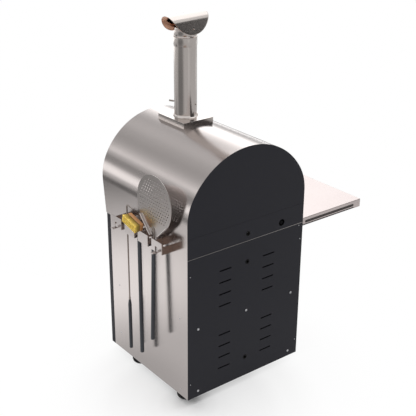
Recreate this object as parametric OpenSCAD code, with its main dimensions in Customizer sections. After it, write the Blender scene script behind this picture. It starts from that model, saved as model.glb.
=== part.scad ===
// Outdoor pizza oven on a black and steel cabinet: flue with a bent cap, fold-down side shelf, hanging tools.
// Millimetres, +Z up, front towards -Y. The origin is on the floor, under the middle of the whole outline.

/* [Body] */
// Width of the body across its steel wrap
body_w = 800; // [770:1:830]
// Depth from the cabinet doors' faces to the back panels
body_d = 766; // [740:1:800]
// Height of the cabinet, from the base pan's underside to the seam
cabinet_h = 850; // [820:1:890]
// Height of the straight wall above the seam
spring_h = 190; // [180:1:205]
// Rise of the arch above its straight walls
arch_rise = 343; // [335:1:352]
// Radius of the arch at its shoulders
shoulder_r = 274; // [266:1:280]
// Thickness of the sheet of the wrap, the panels and the doors
sheet_t = 2; // [1.6:0.1:2.4]
// Thickness of the base pan and the deck
plate_t = 3; // [2.5:0.1:4]
// How far the hood's rim stands ahead of the doors at the seam
rim_reach = 7; // [5:0.5:12]
// Forward lean of the hood's rim, as a share of its height
rim_lean_share = 0.12; // [0.1:0.01:0.14]
// Height of the feet
foot_h = 45; // [40:1:60]
// Radius of a foot
foot_r = 48; // [40:1:50]
// How far the front pair of feet stands behind the cabinet's front
foot_front_inset = 233; // [200:1:260]
// How far the back pair of feet stands ahead of the back panels
foot_back_inset = 90; // [80:1:120]

/* [Cabinet] */
// Depth of the zone that the doors fill, back to the wrap's front edge
door_zone_d = 36; // [34:1:44]
// Thickness of a cabinet door
door_t = 30; // [28:1:32]
// Gap between the two doors, and above and below them
door_gap = 2; // [1.5:0.1:3]
// Length of a cabinet door's handle
handle_l = 320; // [240:5:400]
// Distance from a door's face to its handle's axis
handle_reach = 34; // [30:1:38]
// Leg of a corner post
post_leg = 30; // [24:1:34]
// Height of the access strip above the seam, at the back
strip_h = 116; // [108:1:124]
// Length of a vent slot
vent_l = 82; // [70:1:90]
// Height of a vent slot
vent_h = 8; // [6:0.5:10]
// Distance between vent slots up the panel
vent_pitch = 70.7; // [66:0.1:74]
// Distance from the middle to a column of vent slots
vent_x = 151; // [140:1:165]

/* [Oven] */
// Distance from the wrap's outer face to the baking vault's outer face
vault_inset = 70; // [60:1:76]
// Thickness of the board under the hearth stones
board_t = 47; // [44:1:52]
// Thickness of a hearth stone
stone_t = 35; // [30:1:38]
// Width of the oven's mouth
mouth_w = 460; // [430:1:480]
// Height of the mouth's straight sides
mouth_side_h = 95; // [85:1:105]
// Rise of the mouth's arch
mouth_rise = 120; // [110:1:128]
// How far the oven door covers the facia round the mouth
door_lap = 20; // [16:1:22]
// Thickness of the oven door
oven_door_t = 24; // [22:1:27]
// Width of the oven door's window
window_w = 250; // [220:1:270]
// Height of the oven door's window
window_h = 80; // [70:1:90]
// Diameter of the burner knob
knob_d = 44; // [38:1:50]
// Diameter of the gas inlet's nipple
nipple_d = 20.9; // [18:0.1:22]

/* [Flue] */
// Outer diameter of the flue pipe
flue_d = 125; // [118:1:130]
// Distance from the body's middle forward to the flue's axis
flue_forward = 170; // [160:1:176]
// Height of the flue pipe's rim above the arch
flue_h = 462; // [420:1:500]
// Width of the flashing
flashing_w = 200; // [190:1:210]
// Depth of the flashing
flashing_d = 238; // [225:1:250]
// Height of the flashing's top above the arch
flashing_rise = 23; // [20:1:28]
// Height of the damper's spindle above the arch
damper_h = 92; // [85:1:110]
// How far the damper's spindle stands out of the pipe
damper_reach = 40; // [34:1:60]
// Turn of the damper's spindle from straight ahead towards the tool rack
damper_turn_deg = 25; // [0:1:45]
// Diameter of the flat disc that the cap is bent from
cap_d = 277; // [265:1:285]
// Radius of the cap's bend
cap_bend_r = 56; // [54:1:58]
// Turn of the cap's ridge from the body's width
cap_turn_deg = 6.7; // [0:0.1:15]

/* [Side shelf] */
// How far the side shelf stands out from the wrap
shelf_reach = 483; // [440:1:500]
// Depth of the side shelf, front to back
shelf_d = 692; // [640:1:706]
// Depth of the side shelf's turned-down edge
shelf_edge_h = 48; // [44:1:52]
// Height of the side shelf's top above the seam
shelf_rise = 10; // [5:1:14]

/* [Tool rack] */
// Width of one of the rack's four bays
bay_w = 95; // [90:1:100]
// Gap between bays, where a tool hangs
bay_gap = 32; // [30:0.5:36]
// Distance from the wrap to the rack's front face
rack_reach = 70; // [68:1:76]
// Height of the rack's front
rack_h = 64; // [60:1:70]
// Height of the rack's lower edge above the seam
rack_rise = 3; // [0:1:10]
// Diameter of the tools' handles
grip_d = 22; // [20:0.5:24]
// Diameter of the peel's blade
peel_d = 305; // [290:1:312]
// Distance between holes in the peel
peel_pitch = 20; // [18:0.5:24]
// Diameter of a hole in the peel
peel_hole_d = 8; // [6:0.5:10]
// Length of the brush's head
brush_l = 120; // [108:1:124]
// Height of the brush's head
brush_h = 43; // [38:1:46]
// Diameter of the poker's rod
poker_d = 8.5; // [7:0.5:10]

/* [Hidden] */
$fn = 64;

// Shared small sizes
overrun = 1;           // how far cuts run past faces
fit_gap = 0.3;         // gap between pieces that only meet
pin_play = 0.05;       // running clearance of a pin, all round
wall_gap = 1;          // gap between neighbouring panels

// Heights
base_z = foot_h;
seam_z = base_z + cabinet_h;
spring_z = seam_z + spring_h;
top_z = spring_z + arch_rise;
pan_top_z = base_z + plate_t;
deck_under_z = seam_z - plate_t;
board_top_z = seam_z + board_t;
hearth_z = board_top_z + stone_t;
strip_top_z = seam_z + strip_h;

// Places across the depth
front_y = -body_d / 2;
back_y = body_d / 2;
side_front_y = front_y + door_zone_d;
panel_y = back_y - sheet_t;
side_mid_y = (side_front_y + back_y) / 2;
inner_x = body_w / 2 - sheet_t;

// Three-centred arch: the shoulders' centres and the crown's circle that touches them
shoulder_x = body_w / 2 - shoulder_r;
crown_r = (pow(shoulder_x, 2) + pow(arch_rise, 2) - pow(shoulder_r, 2)) / (2 * (arch_rise - shoulder_r));
crown_z = spring_z + arch_rise - crown_r;
crown_drop = spring_z - crown_z;
crown_offset = norm([shoulder_x, crown_drop]);
function rim_y(z) = front_y - rim_reach - rim_lean_share * (z - seam_z);

// Facia, mouth and vault
facia_gap = 11;        // from the doors' face back to the facia
facia_y = front_y + facia_gap;
vault_wall_d = 68;     // depth of the space between facia and vault, and behind the vault
vault_front_y = facia_y + sheet_t + vault_wall_d;
vault_back_y = panel_y - vault_wall_d - fit_gap;
mouth_spring_z = hearth_z + mouth_side_h;
mouth_r = (pow(mouth_w / 2, 2) + pow(mouth_rise, 2)) / (2 * mouth_rise);
service_z = hearth_z + stone_t;   // the blanket's lower edge ahead of and behind the vault

// Oven door
oven_door_y = facia_y - fit_gap;  // the door's back face
oven_door_front_y = oven_door_y - oven_door_t;
liner_t = 2;
window_z = hearth_z + mouth_side_h;
window_r = 12;
glass_t = 4;
glass_lap = 8;
hinge_drop = 7;        // from the door's lower edge down to its hinge axis
oven_hinge_z = hearth_z - door_lap - hinge_drop;
oven_hinge_y = facia_y - sheet_t - 4 * sheet_t;
oven_pin_r = 4;
oven_knuckle_r = 7;
oven_knuckle_l = 30;
oven_lug_t = 8;
oven_lug_r = oven_knuckle_r - 2 * fit_gap;
oven_hinge_x = mouth_w / 2 - oven_knuckle_l;
oven_handle_r = 7;
oven_handle_l = 240;
oven_handle_reach = 25;
oven_handle_z = mouth_spring_z + mouth_rise * 3 / 5;
post_r = 5;
dial_r = 26;
dial_t = 7;
probe_r = 4;
probe_in = 30;          // how far the probe reaches into the vault
dial_z = (mouth_spring_z + mouth_rise + door_lap + top_z - vault_inset) / 2;

// Burner, gas line and controls
control_x = body_w * 3 / 8;
control_z = seam_z + (hearth_z - seam_z) / 2;
valve_w = 34;
valve_d = 40;
stem_r = 4;
pipe_r = 6;
pipe_drop = 16;         // from the deck down to the pipe under it
pipe_gap = 40;          // from the back panels forward to the pipe
pipe_z = deck_under_z - pipe_drop;
pipe_front_y = facia_y + sheet_t + valve_d * 4 / 5;
pipe_back_y = panel_y - pipe_gap;
burner_r = 14;
burner_clear = 4;
burner_z = hearth_z + burner_clear + burner_r;
burner_l = 470;
burner_hole_r = 2;
burner_hole_pitch = 18;
burner_x = body_w / 2 - vault_inset - sheet_t - 2 * burner_r;
knob_t = 26;
button_r = 7;
button_t = 9;
button_travel = 4;
button_well_d = 24;
inlet_x = 240;
inlet_share = 0.336;
inlet_z = seam_z + inlet_share * strip_h;
cup_r = 20;
cup_wall = 2;
cup_d = 24;
cup_flange = 5;

// Back panel details
vent_share = [0.142, 0.603];
vent_low_z = base_z + vent_share[0] * cabinet_h;
vent_high_z = base_z + vent_share[1] * cabinet_h;
grommet_r = 14;
grommet_neck_r = 12;
grommet_bore_r = 8;
grommet_lip = 1.5;
big_head_r = 7;
big_head_t = 2.5;
screw_share = [0.414, 0.479, 0.463];
big_screw_x = screw_share[0] * body_w;
small_head_r = 3;
small_head_t = 1.5;
small_screw_x = screw_share[1] * body_w;
seam_screw_x = screw_share[2] * body_w;
shank_r = 2.5;
shank_l = 8;
side_head_r = 4.5;
side_head_t = 1.6;

// Feet
foot_round = 28;
foot_x = body_w / 2 - foot_r - sheet_t;
foot_front_y = front_y + foot_front_inset;
foot_back_y = back_y - foot_back_inset;
stud_r = 5;
stud_l = 12;

// Cabinet doors
door_low_z = pan_top_z + door_gap;
door_high_z = deck_under_z - door_gap;
door_edge_gap = 0.5;
door_outer_x = body_w / 2 - door_edge_gap;
door_inner_x = door_gap * 3 / 4;
door_lip = 14;
hinge_x = body_w / 2 - door_t * 2 / 5;
hinge_y = front_y + door_t / 2;
door_pin_r = 4;
door_pin_l = 14;
block_w = 22;
block_d = 24;
block_h = 20;
handle_r = 6;
handle_x = 46;
handle_share = 0.647;
handle_z = base_z + handle_share * cabinet_h;
catch_w = 40;
catch_h = 18;
catch_d = 16;
catch_x = 32;

// Flue
flue_y = -flue_forward;
flue_r = flue_d / 2;
flue_wall = 1.5;
flue_top_z = top_z + flue_h;
sleeve_h = 46;
sleeve_step = 1.5;
bead_r = 2;
flashing_z = top_z + flashing_rise;
collar_h = 12;
collar_w = 4;
damper_z = top_z + damper_h;
spindle_r = 4;
spindle_grip_r = 5;
spindle_grip_l = 26;
hub_r = 7;
hub_l = 90;
damper_r = flue_r - 2 * flue_wall;
neck_r = flue_r - flue_wall;
neck_h = 50;
neck_in = 14;
cap_t = 1.5;
cap_flank_deg = 71;
cap_rise = 120;         // from the pipe's rim up to the cap's ridge
cap_top_z = flue_top_z + cap_rise;
cap_flank_t = cap_bend_r * cap_flank_deg * PI / 180;
rivet_r = 2.5;

// Side shelf
shelf_top_z = seam_z + shelf_rise;
shelf_low_z = shelf_top_z - shelf_edge_h;
shelf_wall_gap = 2;
shelf_edge_gap = 10;
shelf_front_y = side_mid_y - shelf_d / 2;
shelf_back_y = side_mid_y + shelf_d / 2;
bar_t = 6;
pivot_r = 12;
pivot_x = -body_w / 2 - pivot_r - 2 * shelf_wall_gap;
pivot_z = shelf_low_z + pivot_r;
pivot_pin_r = 5;
ear_t = 5;
ear_r = 11;
bracket_w = 46;
bracket_h = 40;
slot_h = 15.5;
slot_share = 0.3;
slot_low_z = shelf_low_z + slot_share * shelf_edge_h;
slot_outer_gap = 55;
slot_inner_gap = 26;
notch_h = 9;

// Tool rack: four bays with three gaps, each a place for a tool
rack_t = 2;
rack_low_z = seam_z + rack_rise;
rack_top_z = rack_low_z + rack_h;
rack_front_x = body_w / 2 + rack_reach;
bay_pitch = bay_w + bay_gap;
bay_first_y = side_mid_y - 3 * bay_pitch / 2;
seat_drop = 19;
seat_z = rack_top_z - seat_drop;
lip_d = 12;
tab_w = 24;
tab_l = 30;
tab_tip = 6;
tab_offset = 34;
rack_foot_w = 18;

// Tools
peel_y = side_mid_y + bay_pitch;
brush_y = side_mid_y;
poker_y = side_mid_y - bay_pitch;
peel_back = 27.6;       // from the rack's front face back to the peel's blade
peel_x = rack_front_x - peel_back;
peel_lean_deg = 1.78;
peel_t = 2;
peel_r = peel_d / 2;
peel_vee_deg = 37;
peel_seat_w = bay_gap - 2 * fit_gap;
peel_z = 196;
peel_edge_h = 10;
peel_edge_t = 2;
peel_margin = 12;
tang_w = 22;
tang_t = 3;
tang_up = 62;
tang_down = 43;
tang_share = [0.2, 0.65];
grip_r = grip_d / 2;
peel_grip_l = 560;
grip_round = 3;
wood_ahead = 8;         // how far the brush's wood stands ahead of the rack
brush_x = rack_front_x + wood_ahead;
wood_t = 22;
brush_tilt_deg = 13;
brush_shift = 13;       // the head hangs this far towards the front of its handle
brush_centre_y = brush_y - brush_shift;
tuft_backing = 3;
bristle_l = 32;
bristle_cols = 40;
bristle_rows = 9;
bristle_w = 1.5;
strap_w = 18;
strap_t = 3;
strap_up = 42;
strap_low_z = seam_z + rack_rise + strap_t;
brush_grip_x = brush_x - wood_t - strap_t * 5 / 2;
brush_grip_l = 712;
poker_x = body_w / 2 + rack_reach * 4 / 7;
poker_up = 105;
poker_down = 425;
poker_top_z = seat_z + poker_up;
poker_low_z = seam_z - poker_down;
poker_grip_l = 320;
poker_hook_l = 60;
poker_collar_r = bay_gap / 2 + 3 * rack_t;
poker_collar_t = 4;
hook_drop_deg = 8;

// The whole outline, which places the origin
out_x_max = brush_x + bristle_l;
out_x_min = -body_w / 2 - shelf_reach;
out_y_max = back_y + big_head_t;
out_y_min = rim_y(top_z);
place_x = -(out_x_max + out_x_min) / 2;
place_y = -(out_y_max + out_y_min) / 2;

// Extrudes an outline drawn in X and Z from y0 to y1
module along_y(y0, y1) {
  translate([0, y1, 0]) rotate([90, 0, 0]) linear_extrude(height = y1 - y0) children();
}

// Extrudes an outline drawn in Y and Z from x0 to x1
module along_x(x0, x1) {
  translate([x0, 0, 0]) rotate([90, 0, 90]) linear_extrude(height = x1 - x0) children();
}

// A box between two corners
module block(low, high) {
  translate(low) cube(high - low);
}

// A straight round bar between two points that differ along one axis
module rod(from, to, r) {
  run = to - from;
  translate(from)
    rotate([0, acos(run[2] / norm(run)), atan2(run[1], run[0])])
      cylinder(r = r, h = norm(run));
}

// The arch's outline, drawn a distance inside the wrap's outer face, from a height up
module arch_outline(inset, low_z) {
  half = body_w / 2 - inset;
  far = 2 * crown_r / crown_offset;
  translate([-half, low_z]) square([2 * half, spring_z - low_z]);
  for (side = [-1, 1])
    intersection() {
      translate([side * shoulder_x, spring_z]) circle(r = shoulder_r - inset, $fn = 96);
      translate([side * half / 2 - half, spring_z]) square([2 * half, half]);
    }
  intersection() {
    translate([0, crown_z]) circle(r = crown_r - inset, $fn = 128);
    polygon([[0, crown_z], [far * shoulder_x, crown_z + far * crown_drop],
      [0, crown_z + 4 * crown_r], [-far * shoulder_x, crown_z + far * crown_drop]]);
    translate([-half, low_z]) square([2 * half, top_z - low_z]);
  }
}

// The mouth's outline, grown by a margin all round
module mouth_outline(grow) {
  half = mouth_w / 2 + grow;
  low = hearth_z - grow;
  translate([-half, low]) square([2 * half, mouth_spring_z - low]);
  intersection() {
    translate([0, mouth_spring_z + mouth_rise - mouth_r]) circle(r = mouth_r + grow, $fn = 96);
    translate([-half, mouth_spring_z]) square([2 * half, mouth_rise + grow]);
  }
}

// A slot with round ends, centred on a point of an outline
module slot_outline(x, z, l, h) {
  translate([x - (l - h) / 2, z - h / 2]) square([l - h, h]);
  for (side = [-1, 1]) translate([x + side * (l - h) / 2, z]) circle(d = h);
}

// A rectangle with round corners, centred on a point of an outline
module soft_rect(x, z, w, h, r) {
  translate([x - w / 2 + r, z - h / 2]) square([w - 2 * r, h]);
  translate([x - w / 2, z - h / 2 + r]) square([w, h - 2 * r]);
  for (i = [-1, 1], k = [-1, 1]) translate([x + i * (w / 2 - r), z + k * (h / 2 - r)]) circle(r = r);
}

// A pan head on the back face, with its shank
module back_screw(x, z, head_r, head_t, l) {
  translate([x, back_y, z]) rotate([-90, 0, 0]) cylinder(r1 = head_r, r2 = head_r * 4 / 5, h = head_t);
  rod([x, back_y - l, z], [x, back_y + head_t / 2, z], shank_r);
}

// Places on the back panels of screws and holes
big_share = [0.041, 0.5];
big_screws = concat([for (side = [-1, 1], share = big_share)
  [side * big_screw_x, base_z + share * cabinet_h]],
  [[0, base_z + cabinet_h / 2]]);
small_share = [0.111, 0.884];
small_screws = [for (side = [-1, 1], share = small_share) [side * small_screw_x, base_z + share * cabinet_h]];
seam_screw_drop = 14;
seam_screws = [[-seam_screw_x, seam_z - seam_screw_drop]];
grommet_share = [0.145, 0.853, 0.353];
low_grommets = [for (i = [0, 1]) [0, base_z + grommet_share[i] * cabinet_h]];
strip_grommet = [0, seam_z + grommet_share[2] * strip_h];

module panel_holes(screws) {
  for (p = screws) translate(p) circle(r = shank_r);
}

// Wrap of one steel sheet: both sides and the arch, with a slanting rim at the front
module outer_shell() {
  color([0.80, 0.77, 0.76]) difference() {
    along_y(rim_y(top_z) - overrun, panel_y) difference() {
      arch_outline(0, base_z);
      arch_outline(sheet_t, base_z - overrun);
    }
    block([-body_w, rim_y(top_z) - body_d, base_z - overrun], [body_w, side_front_y, seam_z]);
    along_x(-body_w, body_w)
      polygon([[rim_y(seam_z - overrun), seam_z - overrun], [rim_y(top_z + overrun), top_z + overrun],
        [rim_y(top_z) - body_d, top_z + overrun], [rim_y(top_z) - body_d, seam_z - overrun]]);
    translate([0, flue_y, spring_z]) cylinder(r = flue_r + fit_gap, h = arch_rise + overrun);
    for (p = side_screw_places, side = [-1, 1])
      rod([side * body_w / 2 - shank_l, p[0], p[1]], [side * body_w / 2 + shank_l, p[0], p[1]], shank_r);
    for (y = rack_screw_ys)
      rod([inner_x - overrun, y, rack_screw_z], [body_w / 2 + overrun, y, rack_screw_z], shank_r);
  }
}

// Black pan under the cabinet, with a lip below the doors
module base_pan() {
  color([0.12, 0.12, 0.13]) difference() {
    union() {
      block([-inner_x, side_front_y, base_z], [inner_x, panel_y, pan_top_z]);
      block([-body_w / 2, front_y, base_z], [body_w / 2, side_front_y, pan_top_z]);
    }
    for (x = [-foot_x, foot_x], y = [foot_front_y, foot_back_y])
      translate([x, y, base_z - overrun]) cylinder(r = stud_r, h = plate_t + 2 * overrun);
    for (x = [-hinge_x, hinge_x])
      translate([x, hinge_y, base_z - overrun]) cylinder(r = door_pin_r, h = plate_t + 2 * overrun);
  }
}

// Four angle posts between the base pan and the deck
module corner_posts() {
  color([0.12, 0.12, 0.13])
    for (sx = [-1, 1], sy = [0, 1]) {
      y_out = sy == 0 ? side_front_y : panel_y;
      y_in = sy == 0 ? y_out + post_leg : y_out - post_leg;
      y_wall = sy == 0 ? y_out + plate_t : y_out - plate_t;
      x_out = sx * inner_x;
      x_in = sx * (inner_x - post_leg);
      x_wall = sx * (inner_x - plate_t);
      block([min(x_out, x_wall), min(y_out, y_in), pan_top_z],
        [max(x_out, x_wall), max(y_out, y_in), deck_under_z]);
      block([min(x_in, x_wall), min(y_out, y_wall), pan_top_z],
        [max(x_in, x_wall), max(y_out, y_wall), deck_under_z]);
    }
}

// Steel deck between the cabinet and the oven; its edge is the bright seam
module deck_plate() {
  color([0.68, 0.66, 0.66]) difference() {
    union() {
      block([-inner_x, side_front_y, deck_under_z], [inner_x, panel_y, seam_z]);
      block([-body_w / 2, front_y, deck_under_z], [body_w / 2, side_front_y, seam_z]);
      block([-body_w / 2, panel_y, deck_under_z], [body_w / 2, back_y, seam_z]);
    }
    for (x = [-hinge_x, hinge_x])
      translate([x, hinge_y, deck_under_z - overrun]) cylinder(r = door_pin_r, h = plate_t + 2 * overrun);
    for (p = [[-control_x, pipe_front_y], [-inlet_x, pipe_back_y]])
      translate([p[0], p[1], deck_under_z - overrun]) cylinder(r = pipe_r, h = plate_t + 2 * overrun);
  }
}

// Lower back panel with sixteen vent slots
module back_panel_lower() {
  color([0.13, 0.13, 0.14]) along_y(panel_y, back_y) difference() {
    translate([-body_w / 2, base_z]) square([body_w, cabinet_h - plate_t - wall_gap / 2]);
    for (side = [-1, 1], low = [vent_low_z, vent_high_z], i = [0:3])
      slot_outline(side * vent_x, low + i * vent_pitch, vent_l, vent_h);
    for (p = low_grommets) translate(p) circle(r = grommet_neck_r);
    panel_holes(big_screws);
    panel_holes(small_screws);
    panel_holes(seam_screws);
  }
}

// Access strip above the seam, with the gas inlet's hole
module access_strip() {
  low = seam_z + wall_gap / 2;
  color([0.13, 0.13, 0.14]) along_y(panel_y, back_y) difference() {
    translate([-body_w / 2, low]) square([body_w, strip_top_z - wall_gap / 2 - low]);
    translate([-inlet_x, inlet_z]) circle(r = cup_r);
    translate(strip_grommet) circle(r = grommet_neck_r);
  }
}

// Arched back panel
module back_panel_upper() {
  color([0.13, 0.13, 0.14]) along_y(panel_y, back_y) arch_outline(0, strip_top_z + wall_gap / 2);
}

// Steel facia round the oven's mouth
module oven_front() {
  color([0.80, 0.77, 0.76]) difference() {
    along_y(facia_y, facia_y + sheet_t) difference() {
      arch_outline(sheet_t + fit_gap, seam_z);
      mouth_outline(sheet_t);
      translate([-control_x, control_z]) circle(r = stem_r + fit_gap);
      translate([0, dial_z]) circle(r = probe_r);
      translate([control_x, control_z]) circle(r = button_r - 2 * sheet_t + pin_play);
    }
  }
  color([0.80, 0.77, 0.76])
    for (side = [-1, 1], k = [-1, 1]) {
      lug = side * oven_hinge_x + k * (oven_knuckle_l / 2 + oven_lug_t / 2 + fit_gap);
      along_x(lug - oven_lug_t / 2, lug + oven_lug_t / 2) difference() {
        union() {
          translate([oven_hinge_y, oven_hinge_z]) circle(r = oven_lug_r);
          translate([oven_hinge_y, oven_hinge_z - oven_lug_r])
            square([facia_y - oven_hinge_y, 2 * oven_lug_r]);
        }
        translate([oven_hinge_y, oven_hinge_z]) circle(r = oven_pin_r);
      }
    }
}

// Sheet lining of the mouth, from the facia to the vault
module mouth_collar() {
  color([0.62, 0.60, 0.60]) along_y(facia_y, vault_front_y) difference() {
    mouth_outline(sheet_t);
    mouth_outline(0);
  }
}

// Baking vault: arch, front wall with the mouth, and back wall
module inner_vault() {
  color([0.62, 0.60, 0.60]) difference() {
    along_y(vault_front_y, vault_back_y) arch_outline(vault_inset, board_top_z);
    along_y(vault_front_y + sheet_t, vault_back_y - sheet_t)
      arch_outline(vault_inset + sheet_t, board_top_z - overrun);
    along_y(vault_front_y - overrun, vault_front_y + 2 * sheet_t) mouth_outline(0);
    translate([0, flue_y, spring_z]) cylinder(r = flue_r, h = arch_rise);
    rod([-burner_x, vault_front_y - overrun, burner_z],
      [-burner_x, vault_front_y + 2 * sheet_t, burner_z], pipe_r);
    rod([0, vault_front_y - overrun, dial_z], [0, vault_front_y + 2 * sheet_t, dial_z], probe_r + fit_gap);
  }
}

// Blanket between the vault and the wrap
module insulation_blanket() {
  lay = sheet_t + fit_gap;
  color([0.86, 0.85, 0.82]) difference() {
    union() {
      along_y(vault_front_y, vault_back_y) arch_outline(lay, board_top_z + fit_gap);
      along_y(facia_y + lay, vault_front_y) arch_outline(lay, service_z);
      along_y(vault_back_y, panel_y - fit_gap) arch_outline(lay, service_z);
    }
    along_y(vault_front_y - fit_gap, vault_back_y + fit_gap)
      arch_outline(vault_inset - fit_gap, board_top_z - overrun);
    along_y(facia_y, vault_front_y + overrun) {
      mouth_outline(sheet_t + fit_gap);
      translate([0, dial_z]) circle(r = probe_r + fit_gap);
    }
    translate([0, flue_y, spring_z]) cylinder(r = flue_r + fit_gap, h = arch_rise);
  }
}

// Heat board under the stones
module floor_board() {
  color([0.86, 0.85, 0.82])
    block([-inner_x + fit_gap, vault_front_y, seam_z], [inner_x - fit_gap, vault_back_y, board_top_z]);
}

module hearth_stone(side) {
  edge = body_w / 2 - vault_inset - sheet_t - fit_gap;
  near = fit_gap;
  color([0.80, 0.74, 0.64])
    block([side > 0 ? near : -edge, vault_front_y + sheet_t + fit_gap, board_top_z],
      [side > 0 ? edge : -near, vault_back_y - sheet_t - fit_gap, hearth_z]);
}

module hearth_stone_right() {
  hearth_stone(1);
}

module hearth_stone_left() {
  hearth_stone(-1);
}

// Flame tube on the hearth's left side, with the feed from the valve
module burner_tube() {
  start = vault_front_y + 3 * sheet_t;
  feed_y = pipe_front_y;
  color([0.62, 0.60, 0.60]) {
    difference() {
      union() {
        rod([-burner_x, start, burner_z], [-burner_x, start + burner_l, burner_z], burner_r);
        for (share = [1 / 6, 5 / 6])
          block([-burner_x - burner_r, start + share * burner_l, hearth_z],
            [-burner_x + burner_r, start + share * burner_l + 2 * sheet_t, burner_z]);
      }
      for (y = [start + burner_hole_pitch:burner_hole_pitch:start + burner_l - burner_hole_pitch])
        translate([-burner_x, y, burner_z]) cylinder(r = burner_hole_r, h = 2 * burner_r);
    }
    rod([-burner_x, feed_y, burner_z], [-burner_x, start, burner_z], pipe_r);
    translate([-burner_x, feed_y, burner_z]) sphere(r = pipe_r);
    if (control_x != burner_x) {
      rod([-control_x, feed_y, burner_z], [-burner_x, feed_y, burner_z], pipe_r);
      translate([-control_x, feed_y, burner_z]) sphere(r = pipe_r);
    }
    rod([-control_x, feed_y, control_z + valve_w / 2], [-control_x, feed_y, burner_z], pipe_r);
  }
}

// Supply pipe from the inlet, under the deck, to the valve
module gas_pipe() {
  bends = [[-inlet_x, pipe_back_y, inlet_z], [-inlet_x, pipe_back_y, pipe_z],
    [-control_x, pipe_back_y, pipe_z], [-control_x, pipe_front_y, pipe_z]];
  color([0.72, 0.58, 0.30]) {
    rod([-inlet_x, panel_y - cup_d, inlet_z], bends[0], pipe_r);
    for (i = [0:2]) rod(bends[i], bends[i + 1], pipe_r);
    for (p = bends) translate(p) sphere(r = pipe_r);
    rod(bends[3], [-control_x, pipe_front_y, control_z - valve_w / 2], pipe_r);
  }
}

// Cup with the gas nipple, behind its hole in the access strip
module gas_inlet() {
  color([0.10, 0.10, 0.11]) translate([-inlet_x, panel_y, inlet_z]) rotate([90, 0, 0]) {
    difference() {
      union() {
        cylinder(r = cup_r + cup_wall, h = cup_d);
        cylinder(r = cup_r + cup_wall + cup_flange, h = cup_wall);
      }
      translate([0, 0, -overrun]) cylinder(r = cup_r, h = cup_d - cup_wall + overrun);
    }
    cylinder(d = nipple_d, h = cup_d - cup_wall / 2);
  }
}

// Valve behind the facia; its stem carries the knob
module gas_valve() {
  color([0.72, 0.58, 0.30]) {
    block([-control_x - valve_w / 2, facia_y + sheet_t, control_z - valve_w / 2],
      [-control_x + valve_w / 2, facia_y + sheet_t + valve_d, control_z + valve_w / 2]);
    rod([-control_x, facia_y - knob_t / 2, control_z], [-control_x, facia_y + sheet_t, control_z], stem_r);
  }
}

// Square tray under the flue, its edges cut to the arch
module flashing() {
  low_z = top_z - 3 * flashing_rise;
  color([0.45, 0.43, 0.43]) difference() {
    translate([-flashing_w / 2, flue_y - flashing_d / 2, low_z])
      cube([flashing_w, flashing_d, flashing_z - low_z]);
    translate([-flashing_w / 2 + sheet_t, flue_y - flashing_d / 2 + sheet_t, low_z - overrun])
      cube([flashing_w - 2 * sheet_t, flashing_d - 2 * sheet_t, flashing_z - low_z - sheet_t + overrun]);
    along_y(flue_y - flashing_d, flue_y + flashing_d) arch_outline(-fit_gap, seam_z);
    translate([0, flue_y, low_z]) cylinder(r = flue_r + fit_gap, h = flashing_z);
  }
}

// Ring that covers the gap round the pipe
module flue_collar() {
  r = flue_r + fit_gap / 2;
  color([0.75, 0.72, 0.71]) translate([0, flue_y, flashing_z]) rotate_extrude($fn = 96)
    polygon([[r, 0], [r + 2 * collar_w, 0], [r + 2 * collar_w, collar_w / 2], [r + collar_w, collar_h / 2],
      [r + collar_w / 2, collar_h], [r, collar_h]]);
}

// Flue pipe with a wider sleeve at its top
module flue_pipe() {
  low_z = top_z - vault_inset - 8 * sheet_t;
  sleeve_z = flue_top_z - sleeve_h;
  color([0.62, 0.60, 0.60]) difference() {
    translate([0, flue_y, 0]) rotate_extrude($fn = 96) {
      polygon([[flue_r - flue_wall, low_z], [flue_r, low_z], [flue_r, sleeve_z],
        [flue_r + sleeve_step, sleeve_z + 2 * sleeve_step], [flue_r + sleeve_step, flue_top_z],
        [flue_r, flue_top_z], [flue_r, sleeve_z + 3 * sleeve_step],
        [flue_r - flue_wall, sleeve_z + sleeve_step]]);
      translate([flue_r + sleeve_step / 2, flue_top_z]) circle(r = bead_r, $fn = 24);
    }
    damper_frame() rod([-2 * flue_r, 0, 0], [2 * flue_r, 0, 0], spindle_r + pin_play);
    translate([0, flue_y, flue_top_z - 2 * bead_r]) cylinder(r = flue_r, h = 4 * bead_r, $fn = 96);
  }
}

// Neck between the pipe and the cap
module cap_collar() {
  low = flue_top_z - neck_in;
  high = flue_top_z + neck_h;
  pinch = flue_top_z + bead_r + 2 * flue_wall;
  r = neck_r + flue_wall;
  color([0.70, 0.68, 0.68]) difference() {
    translate([0, flue_y, 0]) rotate_extrude($fn = 96) {
      polygon([[r - flue_wall, low], [r - pin_play, low], [r - pin_play, flue_top_z + bead_r],
        [r - 2 * flue_wall / 2, pinch], [r, pinch + 4 * flue_wall], [r, high], [r - flue_wall, high],
        [r - flue_wall, pinch + 5 * flue_wall], [r - 3 * flue_wall / 2 - fit_gap, pinch],
        [r - flue_wall, flue_top_z]]);
      translate([r - bead_r / 4, high - neck_h / 4]) circle(r = bead_r * 3 / 4, $fn = 24);
    }
    cap_side_rods(rivet_r);
  }
}

// Two rivets that hold the cap to its neck, across the ridge
module cap_side_rods(r) {
  z = flue_top_z + neck_h - 2 * rivet_r;
  translate([0, flue_y, 0]) rotate([0, 0, cap_turn_deg])
    for (side = [-1, 1]) rod([0, side * (neck_r - rivet_r), z], [0, side * (neck_r + 4 * rivet_r), z], r);
}

module cap_rivets() {
  color([0.70, 0.68, 0.68]) difference() {
    cap_side_rods(rivet_r);
    translate([0, flue_y, seam_z]) cylinder(r = neck_r - 2 * flue_wall, h = top_z);
  }
}

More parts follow.
